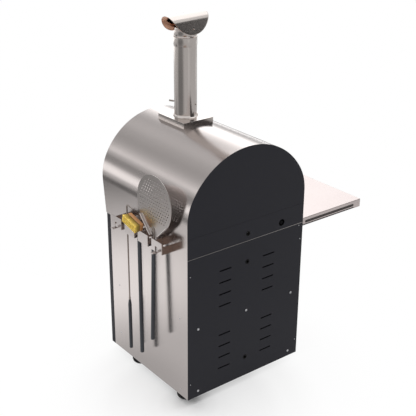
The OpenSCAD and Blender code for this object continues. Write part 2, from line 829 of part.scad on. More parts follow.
// Cap: a flat disc bent over the pipe, worked out on rings of its own flat surface
cap_rings = 9;
cap_spokes = 56;
function cap_angle(t) = min(t / cap_bend_r, cap_flank_deg * PI / 180) * 180 / PI;
function cap_point(s, t, lift) =
  let (a = abs(t), deg = cap_angle(a), past = max(a - cap_flank_t, 0), side = t < 0 ? -1 : 1,
    across = (cap_bend_r + lift) * sin(deg) + past * cos(deg),
    drop = cap_bend_r - (cap_bend_r + lift) * cos(deg) + past * sin(deg))
  [s, side * across, cap_top_z - drop];
cap_ring_points = [for (lift = [0, -cap_t], i = [1:cap_rings], k = [0:cap_spokes - 1])
  let (r = cap_d / 2 * i / cap_rings, a = 360 * k / cap_spokes) cap_point(r * cos(a), r * sin(a), lift)];
cap_points = concat([cap_point(0, 0, 0), cap_point(0, 0, -cap_t)], cap_ring_points);
function cap_id(layer, i, k) = 2 + (layer * cap_rings + i) * cap_spokes + (k % cap_spokes);
cap_faces = [for (k = [0:cap_spokes - 1]) each concat(
  [[0, cap_id(0, 0, k + 1), cap_id(0, 0, k)], [1, cap_id(1, 0, k), cap_id(1, 0, k + 1)]],
  [for (i = [0:cap_rings - 2]) each [
    [cap_id(0, i, k), cap_id(0, i, k + 1), cap_id(0, i + 1, k + 1)],
    [cap_id(0, i, k), cap_id(0, i + 1, k + 1), cap_id(0, i + 1, k)],
    [cap_id(1, i, k), cap_id(1, i + 1, k + 1), cap_id(1, i, k + 1)],
    [cap_id(1, i, k), cap_id(1, i + 1, k), cap_id(1, i + 1, k + 1)]]],
  [[cap_id(0, cap_rings - 1, k), cap_id(0, cap_rings - 1, k + 1), cap_id(1, cap_rings - 1, k + 1)],
    [cap_id(0, cap_rings - 1, k), cap_id(1, cap_rings - 1, k + 1), cap_id(1, cap_rings - 1, k)]])];

module flue_cap() {
  color([0.70, 0.68, 0.68]) difference() {
    translate([0, flue_y, 0]) rotate([0, 0, cap_turn_deg]) polyhedron(points = cap_points, faces = cap_faces);
    cap_side_rods(rivet_r);
  }
}

// Puts the damper's pieces in its own frame, whose X runs out along the spindle's grip
module damper_frame() {
  translate([0, flue_y, damper_z]) rotate([0, 0, damper_turn_deg - 90]) children();
}

// Butterfly plate in the flue, shown open
module damper_plate() {
  color([0.62, 0.60, 0.60]) damper_frame() difference() {
    union() {
      rod([0, -sheet_t / 2, 0], [0, sheet_t / 2, 0], damper_r);
      rod([-hub_l / 2, 0, 0], [hub_l / 2, 0, 0], hub_r);
    }
    rod([-flue_r, 0, 0], [flue_r, 0, 0], spindle_r);
  }
}

module damper_spindle() {
  end = flue_r + damper_reach;
  color([0.75, 0.60, 0.52]) damper_frame() {
    rod([-flue_r - spindle_r, 0, 0], [end - spindle_grip_l, 0, 0], spindle_r);
    rod([end - spindle_grip_l, 0, 0], [end, 0, 0], spindle_grip_r);
  }
}

// Screws of the wrap and of the tool rack
side_inset = 70;
side_share = [0.501, 0.568, 0.129, 0.044];
side_screw_places = [for (i = [0:3])
  [i % 2 == 0 ? side_front_y + side_inset : back_y - side_inset, base_z + side_share[i] * cabinet_h]];
rack_screw_ys = concat([for (i = [0:2]) bay_first_y + (i + 1 / 2) * bay_pitch],
  [bay_first_y - bay_w / 2 + rack_foot_w / 2 + rack_t,
    bay_first_y + 3 * bay_pitch + bay_w / 2 - rack_foot_w / 2 - rack_t]);
rack_screw_z = (rack_low_z + seat_z) / 2;

module side_screws() {
  color([0.72, 0.70, 0.70]) {
    for (p = side_screw_places, side = [-1, 1]) {
      rod([side * body_w / 2, p[0], p[1]], [side * (body_w / 2 + side_head_t), p[0], p[1]], side_head_r);
      rod([side * (body_w / 2 - shank_l), p[0], p[1]], [side * body_w / 2, p[0], p[1]], shank_r);
    }
    for (y = rack_screw_ys) {
      face = body_w / 2 + rack_t;
      rod([face, y, rack_screw_z], [face + side_head_t, y, rack_screw_z], side_head_r);
      rod([inner_x, y, rack_screw_z], [face, y, rack_screw_z], shank_r);
    }
  }
}

// Tool rack: one folded strip with four bays; the end bays have a tab bent out as a hook
module rack_bay(y_mid, first, last) {
  low = y_mid - bay_w / 2;
  high = y_mid + bay_w / 2;
  wall = body_w / 2;
  tab_low = low + tab_offset;
  difference() {
    block([rack_front_x - rack_t, low, rack_low_z], [rack_front_x, high, rack_top_z]);
    if (first || last)
      block([rack_front_x - 2 * rack_t, tab_low, rack_low_z - overrun],
        [rack_front_x + overrun, tab_low + tab_w, rack_low_z + tab_l]);
  }
  for (y = [low, high - rack_t])
    translate([0, y + rack_t, 0]) rotate([90, 0, 0]) linear_extrude(height = rack_t)
      polygon([[wall, rack_low_z], [rack_front_x - rack_t, rack_low_z], [rack_front_x - rack_t, rack_top_z],
        [rack_front_x - rack_t - lip_d, seat_z], [wall, seat_z]]);
  if (first || last) {
    block([rack_front_x - rack_t, tab_low, rack_low_z],
      [rack_front_x + tab_l, tab_low + tab_w, rack_low_z + rack_t]);
    block([rack_front_x + tab_l - rack_t, tab_low, rack_low_z],
      [rack_front_x + tab_l, tab_low + tab_w, rack_low_z + tab_tip]);
  }
}

module tool_rack() {
  wall = body_w / 2;
  color([0.80, 0.77, 0.76]) difference() {
    union() {
      for (i = [0:3]) rack_bay(bay_first_y + i * bay_pitch, i == 0, i == 3);
      for (i = [0:2])
        block([wall, bay_first_y + i * bay_pitch + bay_w / 2 - rack_t, rack_low_z],
          [wall + rack_t, bay_first_y + (i + 1) * bay_pitch - bay_w / 2 + rack_t, seat_z]);
      block([wall, bay_first_y - bay_w / 2, rack_low_z],
        [wall + rack_t, bay_first_y - bay_w / 2 + rack_t + rack_foot_w, seat_z]);
      block([wall, bay_first_y + 3 * bay_pitch + bay_w / 2 - rack_t - rack_foot_w, rack_low_z],
        [wall + rack_t, bay_first_y + 3 * bay_pitch + bay_w / 2, seat_z]);
    }
    for (y = rack_screw_ys)
      rod([wall - overrun, y, rack_screw_z], [wall + rack_t + overrun, y, rack_screw_z], shank_r);
  }
}

// Wall brackets of the side shelf, one at each bar
module shelf_brackets() {
  wall = -body_w / 2;
  color([0.12, 0.12, 0.13])
    for (end = [0, 1]) {
      bar_face = end == 0 ? shelf_front_y + sheet_t + fit_gap + bar_t + fit_gap
        : shelf_back_y - sheet_t - 2 * fit_gap - bar_t;
      ear_low = end == 0 ? bar_face : bar_face - ear_t;
      base_low = end == 0 ? bar_face : bar_face - bracket_w;
      block([wall - plate_t, base_low, pivot_z - bracket_h / 2],
        [wall, base_low + bracket_w, pivot_z + bracket_h / 2]);
      along_y(ear_low, ear_low + ear_t) difference() {
        union() {
          translate([pivot_x, pivot_z]) circle(r = ear_r);
          translate([pivot_x, pivot_z - ear_r]) square([wall - pivot_x, 2 * ear_r]);
        }
        translate([pivot_x, pivot_z]) circle(r = pivot_pin_r);
      }
    }
}

module shelf_pins() {
  color([0.55, 0.55, 0.56])
    for (end = [0, 1]) {
      outer = end == 0 ? shelf_front_y + sheet_t + fit_gap : shelf_back_y - sheet_t - fit_gap;
      inward = end == 0 ? 1 : -1;
      rod([pivot_x, outer, pivot_z],
        [pivot_x, outer + inward * (bar_t + fit_gap + ear_t + ear_t / 2), pivot_z], pivot_pin_r);
    }
}

// Side shelf: a steel pan with turned-down edges, a long slot and a shallow notch in each side edge
module shelf_top() {
  outer_x = -body_w / 2 - shelf_reach;
  inner_top_x = -body_w / 2 - shelf_wall_gap;
  inner_edge_x = -body_w / 2 - shelf_edge_gap;
  slot_end = outer_x + slot_outer_gap;
  slot_start = inner_edge_x - slot_inner_gap;
  color([0.86, 0.84, 0.83]) difference() {
    union() {
      block([outer_x, shelf_front_y, shelf_top_z - sheet_t], [inner_top_x, shelf_back_y, shelf_top_z]);
      block([outer_x, shelf_front_y, shelf_low_z], [outer_x + sheet_t, shelf_back_y, shelf_top_z - sheet_t]);
      for (y = [shelf_front_y, shelf_back_y - sheet_t])
        block([outer_x + sheet_t, y, shelf_low_z], [inner_edge_x, y + sheet_t, shelf_top_z - sheet_t]);
    }
    along_y(shelf_front_y - overrun, shelf_back_y + overrun) {
      slot_outline((slot_end + slot_start) / 2, slot_low_z + slot_h / 2, slot_start - slot_end, slot_h);
      polygon([[slot_end - notch_h, shelf_low_z - overrun], [slot_end, shelf_low_z + notch_h],
        [-body_w / 2, shelf_low_z + notch_h], [-body_w / 2, shelf_low_z - overrun]]);
    }
  }
}

// Black frame under the shelf: two bars with the hinge eyes, and two cross bars
module shelf_frame() {
  outer_x = -body_w / 2 - shelf_reach + sheet_t + 2 * bar_t;
  bar_end_x = pivot_x + pivot_r;
  high_z = shelf_top_z - sheet_t;
  cross_low_z = pivot_z + pivot_r;
  front = shelf_front_y + sheet_t + fit_gap;
  back = shelf_back_y - sheet_t - fit_gap;
  color([0.10, 0.10, 0.11]) {
    for (y = [front, back - bar_t])
      along_y(y, y + bar_t) difference() {
        union() {
          translate([pivot_x, pivot_z]) circle(r = pivot_r);
          translate([outer_x, shelf_low_z]) square([pivot_x - outer_x, high_z - shelf_low_z]);
          translate([pivot_x, pivot_z]) square([bar_end_x - pivot_x, high_z - pivot_z]);
        }
        translate([pivot_x, pivot_z]) circle(r = pivot_pin_r + pin_play);
      }
    for (share = [0, 9 / 10]) {
      x = outer_x + share * (pivot_x - outer_x);
      block([x, front + bar_t, cross_low_z], [x + bar_t, back - bar_t, high_z]);
    }
  }
}

// Round feet with rounded lower edges, each with its stud
module feet() {
  color([0.06, 0.06, 0.06])
    for (x = [-foot_x, foot_x], y = [foot_front_y, foot_back_y])
      translate([x, y, 0]) {
        rotate_extrude($fn = 72) {
          translate([0, foot_round]) square([foot_r, foot_h - foot_round]);
          square([foot_r - foot_round, foot_round]);
          intersection() {
            translate([foot_r - foot_round, foot_round]) circle(r = foot_round, $fn = 72);
            square([foot_r, foot_round]);
          }
        }
        translate([0, 0, foot_h]) cylinder(r = stud_r, h = stud_l);
      }
}

module back_screws() {
  color([0.70, 0.70, 0.71]) {
    for (p = big_screws) back_screw(p[0], p[1], big_head_r, big_head_t, shank_l);
    for (p = concat(small_screws, seam_screws))
      back_screw(p[0], p[1], small_head_r, small_head_t, sheet_t);
  }
}

// Magnet blocks under the deck that hold the doors shut
module magnet_catches() {
  face_y = front_y + door_t + fit_gap;
  color([0.20, 0.20, 0.21])
    for (side = [-1, 1])
      translate([side * catch_x - catch_w / 2, face_y, deck_under_z - catch_h])
        cube([catch_w, catch_d, catch_h]);
}

module door_pins() {
  color([0.55, 0.55, 0.56])
    for (x = [-hinge_x, hinge_x]) {
      translate([x, hinge_y, base_z]) cylinder(r = door_pin_r, h = plate_t + door_gap + door_pin_l);
      translate([x, hinge_y, seam_z - plate_t - door_gap - door_pin_l])
        cylinder(r = door_pin_r, h = plate_t + door_gap + door_pin_l);
    }
}

module oven_hinge_pins() {
  half = oven_knuckle_l / 2 + fit_gap + oven_lug_t;
  color([0.55, 0.55, 0.56])
    for (side = [-1, 1])
      rod([side * oven_hinge_x - half, oven_hinge_y, oven_hinge_z],
        [side * oven_hinge_x + half, oven_hinge_y, oven_hinge_z], oven_pin_r);
}

// Rubber grommets in the back's three round holes
module grommets() {
  color([0.04, 0.04, 0.04])
    for (p = concat(low_grommets, [strip_grommet]))
      along_y(panel_y, back_y) translate(p) difference() {
        circle(r = grommet_neck_r);
        circle(r = grommet_bore_r);
      }
  color([0.04, 0.04, 0.04])
    for (p = concat(low_grommets, [strip_grommet]), y = [panel_y - grommet_lip, back_y])
      along_y(y, y + grommet_lip) translate(p) difference() {
        circle(r = grommet_r);
        circle(r = grommet_bore_r);
      }
}

// Cabinet door: a folded pan, open at the back inside its lips, with blocks for the hinge pins
module cabinet_door(side) {
  x0 = side > 0 ? door_inner_x : -door_outer_x;
  x1 = side > 0 ? door_outer_x : -door_inner_x;
  y1 = front_y + door_t;
  color([0.13, 0.13, 0.14]) difference() {
    union() {
      difference() {
        block([x0, front_y, door_low_z], [x1, y1, door_high_z]);
        block([x0 + sheet_t, front_y + sheet_t, door_low_z + sheet_t],
          [x1 - sheet_t, y1 - sheet_t, door_high_z - sheet_t]);
        block([x0 + door_lip, y1 - door_lip, door_low_z + door_lip],
          [x1 - door_lip, y1 + overrun, door_high_z - door_lip]);
      }
      for (z = [door_low_z, door_high_z - block_h])
        block([side * hinge_x - block_w / 2, hinge_y - block_d / 2, z],
          [side * hinge_x + block_w / 2, hinge_y + block_d / 2, z + block_h]);
    }
    for (z = [door_low_z - overrun, door_high_z - door_pin_l - overrun])
      translate([side * hinge_x, hinge_y, z])
        cylinder(r = door_pin_r + pin_play, h = door_pin_l + 2 * overrun);
  }
}

module cabinet_door_right() {
  cabinet_door(1);
}

module cabinet_door_left() {
  cabinet_door(-1);
}

// Upright bar handle with two posts
module door_handle(side) {
  x = side * handle_x;
  y = front_y - handle_reach;
  color([0.78, 0.76, 0.75]) {
    rod([x, y, handle_z - handle_l / 2], [x, y, handle_z + handle_l / 2], handle_r);
    for (z = [handle_z - handle_l * 2 / 5, handle_z + handle_l * 2 / 5])
      rod([x, y, z], [x, front_y, z], post_r);
  }
}

module door_handle_right() {
  door_handle(1);
}

module door_handle_left() {
  door_handle(-1);
}

// Oven door: a steel pan with the window's opening and two hinge knuckles
module oven_door() {
  color([0.80, 0.77, 0.76]) difference() {
    union() {
      along_y(oven_door_front_y, oven_door_y - liner_t) difference() {
        mouth_outline(door_lap);
        mouth_outline(door_lap - sheet_t);
      }
      along_y(oven_door_front_y, oven_door_front_y + sheet_t) mouth_outline(door_lap);
      along_y(oven_door_front_y, oven_door_y - liner_t)
        soft_rect(0, window_z, window_w + 2 * glass_lap, window_h + 2 * glass_lap, window_r);
      for (side = [-1, 1])
        along_x(side * oven_hinge_x - oven_knuckle_l / 2, side * oven_hinge_x + oven_knuckle_l / 2) {
          translate([oven_hinge_y, oven_hinge_z]) circle(r = oven_knuckle_r);
          translate([oven_hinge_y - oven_knuckle_r, oven_hinge_z])
            square([2 * oven_knuckle_r, hinge_drop + sheet_t]);
        }
    }
    along_y(oven_door_front_y - overrun, oven_door_y) soft_rect(0, window_z, window_w, window_h, window_r);
    along_y(oven_door_front_y + 2 * sheet_t, oven_door_front_y + 2 * sheet_t + glass_t)
      soft_rect(0, window_z, window_w + glass_lap, window_h + glass_lap, window_r);
    rod([-mouth_w, oven_hinge_y, oven_hinge_z], [mouth_w, oven_hinge_y, oven_hinge_z], oven_pin_r + pin_play);
  }
}

// Inner face of the oven door
module oven_door_liner() {
  color([0.62, 0.60, 0.60]) along_y(oven_door_y - liner_t, oven_door_y) difference() {
    mouth_outline(door_lap - fit_gap);
    soft_rect(0, window_z, window_w, window_h, window_r);
  }
}

module oven_door_glass() {
  glass_y = oven_door_front_y + 2 * sheet_t;
  color([0.15, 0.14, 0.13, 0.5]) along_y(glass_y, glass_y + glass_t)
    soft_rect(0, window_z, window_w + glass_lap - fit_gap, window_h + glass_lap - fit_gap, window_r);
}

module oven_door_handle() {
  y = oven_door_front_y - oven_handle_reach;
  color([0.78, 0.76, 0.75]) {
    rod([-oven_handle_l / 2, y, oven_handle_z], [oven_handle_l / 2, y, oven_handle_z], oven_handle_r);
    for (x = [-oven_handle_l * 2 / 5, oven_handle_l * 2 / 5])
      rod([x, y, oven_handle_z], [x, oven_door_front_y, oven_handle_z], post_r);
  }
}

// Dial thermometer above the mouth, with its probe through to the vault
module thermometer() {
  color([0.85, 0.85, 0.85]) {
    rod([0, facia_y - dial_t, dial_z], [0, facia_y, dial_z], dial_r);
    rod([0, facia_y, dial_z], [0, vault_front_y + probe_in, dial_z], probe_r);
  }
}

// Burner knob with a pointer ridge
module burner_knob() {
  face_y = facia_y - fit_gap;
  color([0.09, 0.09, 0.10]) difference() {
    union() {
      translate([-control_x, face_y, control_z]) rotate([90, 0, 0])
        cylinder(d1 = knob_d, d2 = knob_d * 4 / 5, h = knob_t * 3 / 4);
      block([-control_x - knob_d / 10, face_y - knob_t, control_z - knob_d * 2 / 5],
        [-control_x + knob_d / 10, face_y - knob_t / 2, control_z + knob_d * 2 / 5]);
    }
    rod([-control_x, facia_y - knob_t / 2 - fit_gap, control_z],
      [-control_x, facia_y, control_z], stem_r + pin_play);
  }
}

// Igniter button in its threaded barrel's hole
module igniter_button() {
  color([0.70, 0.10, 0.08]) {
    rod([control_x, facia_y - button_t, control_z],
      [control_x, facia_y - button_travel - fit_gap, control_z], button_r);
    rod([control_x, facia_y - button_travel - fit_gap, control_z],
      [control_x, facia_y + button_well_d, control_z], button_r - 2 * sheet_t);
  }
}

// Puts a tool's pieces in the peel's leaning frame, whose origin is its seat on the rack
module peel_frame() {
  translate([peel_x, peel_y, seat_z]) rotate([0, -peel_lean_deg, 0]) children();
}

// The peel's outline in Y and Z: a disc with straight sides down to its seat
module peel_outline() {
  vee = [peel_r * cos(peel_vee_deg), peel_z - peel_r * sin(peel_vee_deg)];
  translate([0, peel_z]) circle(r = peel_r, $fn = 128);
  polygon([[-peel_seat_w / 2, 0], [peel_seat_w / 2, 0], vee, [-vee[0], vee[1]]]);
}

// Holes stand in rows, each row shifted by half a pitch
module peel_holes() {
  row_step = peel_pitch * sqrt(3) / 2;
  reach = peel_r - peel_margin;
  rows = floor(reach / row_step);
  low_row = -floor(peel_r * sin(peel_vee_deg) / row_step);
  for (j = [low_row:rows])
    for (i = [-ceil(reach / peel_pitch):ceil(reach / peel_pitch)]) {
      y = (i + (abs(j) % 2) / 2) * peel_pitch;
      z = j * row_step;
      if (norm([y, z]) + peel_hole_d / 2 < reach)
        translate([y, peel_z + z]) circle(d = peel_hole_d, $fn = 24);
    }
}

// Perforated round blade with two turned-up edges at its neck
module peel_blade() {
  vee = [peel_r * cos(peel_vee_deg), peel_z - peel_r * sin(peel_vee_deg)];
  run = [vee[0] - peel_seat_w / 2, vee[1]];
  share = [0.12, 0.98];
  color([0.76, 0.74, 0.74]) peel_frame() {
    along_x(-peel_t / 2, peel_t / 2) difference() {
      peel_outline();
      peel_holes();
    }
    for (side = [-1, 1])
      translate([0, side * (peel_seat_w / 2 + share[0] * run[0]), share[0] * run[1]])
        rotate([side * -atan2(run[0], run[1]), 0, 0])
          translate([0, side > 0 ? -peel_edge_t - fit_gap : fit_gap, 0])
            cube([peel_t / 2 + peel_edge_h, peel_edge_t, (share[1] - share[0]) * norm(run)]);
  }
}

// Steel tang riveted to the blade
module peel_tang() {
  color([0.70, 0.68, 0.68]) peel_frame() {
    block([peel_t / 2, -tang_w / 2, -tang_down], [peel_t / 2 + tang_t, tang_w / 2, tang_up]);
    for (share = tang_share)
      translate([peel_t / 2 + tang_t, 0, share * tang_up]) rotate([0, 90, 0])
        cylinder(r1 = small_head_r, r2 = small_head_r / 2, h = small_head_t);
  }
}

// A round grip with rounded ends, hanging down from a point
module grip(l, r) {
  translate([0, 0, -l]) rotate_extrude($fn = 48) {
    translate([0, grip_round]) square([r, l - 2 * grip_round]);
    square([r - grip_round, l]);
    for (z = [grip_round, l - grip_round])
      intersection() {
        translate([r - grip_round, z]) circle(r = grip_round, $fn = 24);
        translate([0, 0]) square([r, l]);
      }
  }
}

module peel_handle() {
  color([0.10, 0.10, 0.11]) peel_frame() translate([0, 0, -tang_down]) grip(peel_grip_l, grip_r);
}

// Puts the brush's head in its tilted frame; the origin is at the lower near corner of the wood's front
module brush_frame() {
  translate([brush_x, brush_centre_y + brush_l / 2, rack_top_z + fit_gap])
    rotate([-brush_tilt_deg, 0, 0]) children();
}

module brush_back() {
  color([0.72, 0.42, 0.16]) brush_frame()
    block([-wood_t, -brush_l, 0], [0, 0, brush_h]);
}

// Bristles: rows of square strands that splay a little, on a thin plate of their own
function strand(base, tip, w) = [for (p = [base, tip], q = [[-1, -1], [1, -1], [1, 1], [-1, 1]])
  [p[0], p[1] + q[0] * w / 2, p[2] + q[1] * w / 2]];
strand_faces = [[0, 1, 2], [0, 2, 3], [4, 6, 5], [4, 7, 6], [0, 4, 5], [0, 5, 1], [1, 5, 6], [1, 6, 2],
  [2, 6, 7], [2, 7, 3], [3, 7, 4], [3, 4, 0]];

module brush_bristles() {
  splay_share = 0.04;
  length_share = 0.06;
  col_step = brush_l / bristle_cols;
  row_step = brush_h / bristle_rows;
  reach = bristle_l - length_share * bristle_l;
  color([0.80, 0.62, 0.16]) brush_frame() {
    block([0, -brush_l, 0], [tuft_backing, 0, brush_h]);
    for (i = [0:bristle_cols - 1], k = [0:bristle_rows - 1]) {
      y = -brush_l + (i + 1 / 2) * col_step;
      z = (k + 1 / 2) * row_step;
      l = reach + length_share * bristle_l * pow(sin(90 * (i * 7 + k * 3)), 2);
      tip = [l, y + splay_share * (y + brush_l / 2), z + splay_share * (z - brush_h / 2)];
      polyhedron(points = strand([tuft_backing / 2, y, z], tip, bristle_w), faces = strand_faces);
    }
  }
}

// Steel strap behind the wood, down to the handle
module brush_strap() {
  strap_x = brush_x - wood_t;
  color([0.66, 0.64, 0.64])
    block([strap_x - strap_t, brush_y - strap_w / 2, strap_low_z],
      [strap_x, brush_y + strap_w / 2, rack_top_z + strap_up]);
}

module brush_handle() {
  color([0.10, 0.10, 0.11]) translate([brush_grip_x, brush_y, strap_low_z]) grip(brush_grip_l, grip_r);
}

// Poker rod with a hooked tip and the collar that rests on the rack
module poker_rod() {
  color([0.55, 0.53, 0.53]) {
    rod([poker_x, poker_y, poker_low_z], [poker_x, poker_y, poker_top_z], poker_d / 2);
    translate([poker_x, poker_y, poker_top_z]) {
      sphere(r = poker_d / 2);
      rotate([-90 - hook_drop_deg, 0, 0]) cylinder(r1 = poker_d / 2, r2 = poker_d / 4, h = poker_hook_l);
    }
    translate([poker_x, poker_y, seat_z + fit_gap]) cylinder(r = poker_collar_r, h = poker_collar_t);
  }
}

// The poker's grip tapers towards the rod
module poker_handle() {
  r = grip_r - grip_round / 3;
  taper_l = 3 * r;
  color([0.10, 0.10, 0.11]) translate([poker_x, poker_y, poker_low_z]) {
    translate([0, 0, -taper_l]) cylinder(r1 = r, r2 = r / 2, h = taper_l);
    translate([0, 0, -taper_l]) translate([0, 0, -(poker_grip_l - taper_l)])
      cylinder(r = r, h = poker_grip_l - taper_l);
  }
}

// Moves the body's frame to the origin under the whole outline
module placed() {
  translate([place_x, place_y, 0]) children();
}

placed() outer_shell();
placed() base_pan();
placed() corner_posts();
placed() deck_plate();
placed() back_panel_lower();
placed() access_strip();
placed() back_panel_upper();
placed() oven_front();
placed() mouth_collar();
placed() inner_vault();
placed() insulation_blanket();
placed() floor_board();
placed() hearth_stone_right();
placed() hearth_stone_left();
placed() burner_tube();
placed() gas_pipe();
placed() gas_inlet();
placed() gas_valve();
placed() flashing();
placed() flue_collar();
placed() flue_pipe();
placed() cap_collar();
placed() flue_cap();
placed() cap_rivets();
placed() tool_rack();
placed() shelf_brackets();
placed() shelf_pins();
placed() feet();
placed() back_screws();
placed() side_screws();
placed() magnet_catches();
placed() door_pins();
placed() oven_hinge_pins();
placed() grommets();
placed() cabinet_door_right();
placed() door_handle_right();
placed() cabinet_door_left();
placed() door_handle_left();
placed() oven_door();
placed() oven_door_liner();
placed() oven_door_glass();
placed() oven_door_handle();
placed() thermometer();
placed() damper_plate();
placed() damper_spindle();
placed() burner_knob();
placed() igniter_button();
placed() shelf_top();
placed() shelf_frame();
placed() peel_blade();
placed() peel_tang();
placed() peel_handle();
placed() brush_back();
placed() brush_bristles();
placed() brush_strap();
placed() brush_handle();
placed() poker_rod();
placed() poker_handle();
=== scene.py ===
import math
import random

import bmesh
import bpy
from mathutils import Matrix, Vector


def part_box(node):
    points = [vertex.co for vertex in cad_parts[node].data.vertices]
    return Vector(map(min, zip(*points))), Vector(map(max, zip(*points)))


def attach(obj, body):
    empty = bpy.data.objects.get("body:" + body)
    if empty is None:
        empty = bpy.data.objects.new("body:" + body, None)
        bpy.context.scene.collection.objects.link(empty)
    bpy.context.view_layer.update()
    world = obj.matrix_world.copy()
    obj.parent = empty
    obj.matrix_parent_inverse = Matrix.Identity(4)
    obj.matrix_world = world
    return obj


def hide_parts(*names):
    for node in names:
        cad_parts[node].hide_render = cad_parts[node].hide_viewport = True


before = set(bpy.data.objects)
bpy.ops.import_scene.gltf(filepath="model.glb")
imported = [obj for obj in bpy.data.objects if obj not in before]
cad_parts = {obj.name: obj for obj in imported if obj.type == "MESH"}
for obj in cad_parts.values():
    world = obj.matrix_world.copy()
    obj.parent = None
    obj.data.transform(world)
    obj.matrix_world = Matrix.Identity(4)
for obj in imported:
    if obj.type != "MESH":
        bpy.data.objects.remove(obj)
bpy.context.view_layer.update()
print("frame loaded:", len(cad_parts), "nodes")

# Places are written in millimetres from the body's middle, on the floor, with the front towards -Y
backFaceY = 383
panelLow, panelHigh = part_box("back_panel_lower")
shiftX = (panelLow.x + panelHigh.x) / 2
shiftY = panelHigh.y - backFaceY / 1000
near = 1e-6  # metres: points closer than this are merged
seed = random.Random(11)


def mm(value):
    return value / 1000


def span(x, y, z):
    return Vector((mm(x), mm(y), mm(z)))


def at(x, y, z):
    return Vector((mm(x) + shiftX, mm(y) + shiftY, mm(z)))


def deselectAll():
    if bpy.context.object and bpy.context.object.mode != "OBJECT":
        bpy.ops.object.mode_set(mode="OBJECT")
    bpy.ops.object.select_all(action="DESELECT")


def selectOnly(piece):
    deselectAll()
    piece.select_set(True)
    bpy.context.view_layer.objects.active = piece


def openPiece(piece):  # edit mode, with all of it selected
    selectOnly(piece)
    bpy.ops.object.mode_set(mode="EDIT")
    bpy.ops.mesh.select_mode(type="VERT")
    bpy.ops.mesh.select_all(action="SELECT")


def closePiece():
    bpy.ops.object.mode_set(mode="OBJECT")


def newObject(name, data):
    holder = bpy.data.objects.new(name, data)
    bpy.context.scene.collection.objects.link(holder)
    return holder


def settle(piece):  # puts the piece's place into its mesh
    selectOnly(piece)
    bpy.ops.object.transform_apply(location=True, rotation=True, scale=True)
    return piece


def pick(piece, kind, test):  # selects verts, edges or faces of the open piece by their place
    bpy.ops.mesh.select_mode(type={"verts": "VERT", "edges": "EDGE", "faces": "FACE"}[kind])
    bpy.ops.mesh.select_all(action="DESELECT")
    mesh = bmesh.from_edit_mesh(piece.data)
    mesh.normal_update()
    for part in getattr(mesh, kind):
        if test(part):
            part.select_set(True)
    mesh.select_flush_mode()
    bmesh.update_edit_mesh(piece.data)


def middle(part):
    return sum((v.co for v in part.verts), Vector()) / len(part.verts)


def sharp(edge, least=0.5):  # the bend at an edge, in radians
    return edge.calc_face_angle(0) > least


def runs(edge, axis, least=1):  # whether an edge goes further along an axis than so many millimetres
    first, second = (getattr(v.co, axis) for v in edge.verts)
    return abs(first - second) > mm(least)


def drawOut(x, y, z):  # extrudes the selected edges
    bpy.ops.mesh.extrude_edges_move(TRANSFORM_OT_translate={"value": span(x, y, z)})


def addBlock(name, low, high):
    deselectAll()
    bpy.ops.mesh.primitive_cube_add(size=1, location=(low + high) / 2)
    piece = bpy.context.active_object
    piece.name = name
    piece.scale = high - low
    return settle(piece)


def addPlane(name, size=1):
    deselectAll()
    bpy.ops.mesh.primitive_plane_add(size=size, location=(0, 0, 0))
    piece = bpy.context.active_object
    piece.name = name
    return piece


def addEdge(name, ends):  # a plane cut down to one edge between two places, left open to be drawn out
    piece = addPlane(name)
    openPiece(piece)
    pick(piece, "verts", lambda v: v.co.x < 0)
    bpy.ops.mesh.delete(type="VERT")
    mesh = bmesh.from_edit_mesh(piece.data)
    for vert, end in zip(mesh.verts, ends):
        vert.co = end
    bmesh.update_edit_mesh(piece.data)
    bpy.ops.mesh.select_all(action="SELECT")
    return piece


def taperTop(piece, ratios, top):  # scales the top faces about a height
    openPiece(piece)
    pick(piece, "faces", lambda face: face.normal.z > 0.9)
    bpy.ops.transform.resize(value=(*ratios, 1), center_override=(0, 0, mm(top)))
    closePiece()
    return piece


def bevelEdges(piece, width, segments, test, clamp=False):
    openPiece(piece)
    pick(piece, "edges", test)
    bpy.ops.mesh.bevel(offset=mm(width), segments=segments, affect="EDGES", clamp_overlap=clamp)
    closePiece()
    return piece


def roundEdges(piece, width, segments=2, test=sharp):
    return bevelEdges(piece, width, segments, test, clamp=True)


def mendFaces(piece, doubles=True):  # faces point outwards once doubles are merged
    openPiece(piece)
    if doubles:
        bpy.ops.mesh.remove_doubles(threshold=near)
    bpy.ops.mesh.normals_make_consistent(inside=False)
    closePiece()
    return piece


def place(piece, where, direction):  # turns +Z to the direction, then moves to the place
    look = Vector(direction).to_track_quat("Z", "Y").to_matrix().to_4x4()
    piece.matrix_world = Matrix.Translation(where) @ look @ piece.matrix_world
    return settle(piece)


def turned(name, rings, where, direction=(0, 0, 1), sides=64, capped=True):
    # rings are (radius, height) in millimetres, one after another from the circle that is added first
    radius, height = rings[0]
    deselectAll()
    bpy.ops.mesh.primitive_circle_add(vertices=sides, radius=mm(radius), location=(0, 0, mm(height)))
    piece = bpy.context.active_object
    piece.name = name
    openPiece(settle(piece))
    if capped:
        bpy.ops.mesh.edge_face_add()
    for nextRadius, nextHeight in rings[1:]:
        drawOut(0, 0, nextHeight - height)
        ratio = nextRadius / radius
        bpy.ops.transform.resize(value=(ratio, ratio, 1), center_override=(0, 0, mm(nextHeight)))
        radius, height = nextRadius, nextHeight
    if capped:
        bpy.ops.mesh.edge_face_add()
    closePiece()
    return place(mendFaces(piece), where, direction)


def applyModifier(piece, kind, name, **settings):
    selectOnly(piece)
    modifier = piece.modifiers.new(name, kind)
    for key, value in settings.items():
        setattr(modifier, key, value)
    bpy.ops.object.modifier_apply(modifier=modifier.name)
    return piece


def easeEdges(piece, width, segments=2, degrees=50):
    return applyModifier(piece, "BEVEL", "ease", width=mm(width), segments=segments, limit_method="ANGLE",
                         angle_limit=math.radians(degrees))


def thickenSheet(piece, thickness, offset=0):
    return applyModifier(piece, "SOLIDIFY", "sheet", thickness=mm(thickness), offset=offset,
                         use_even_offset=True)


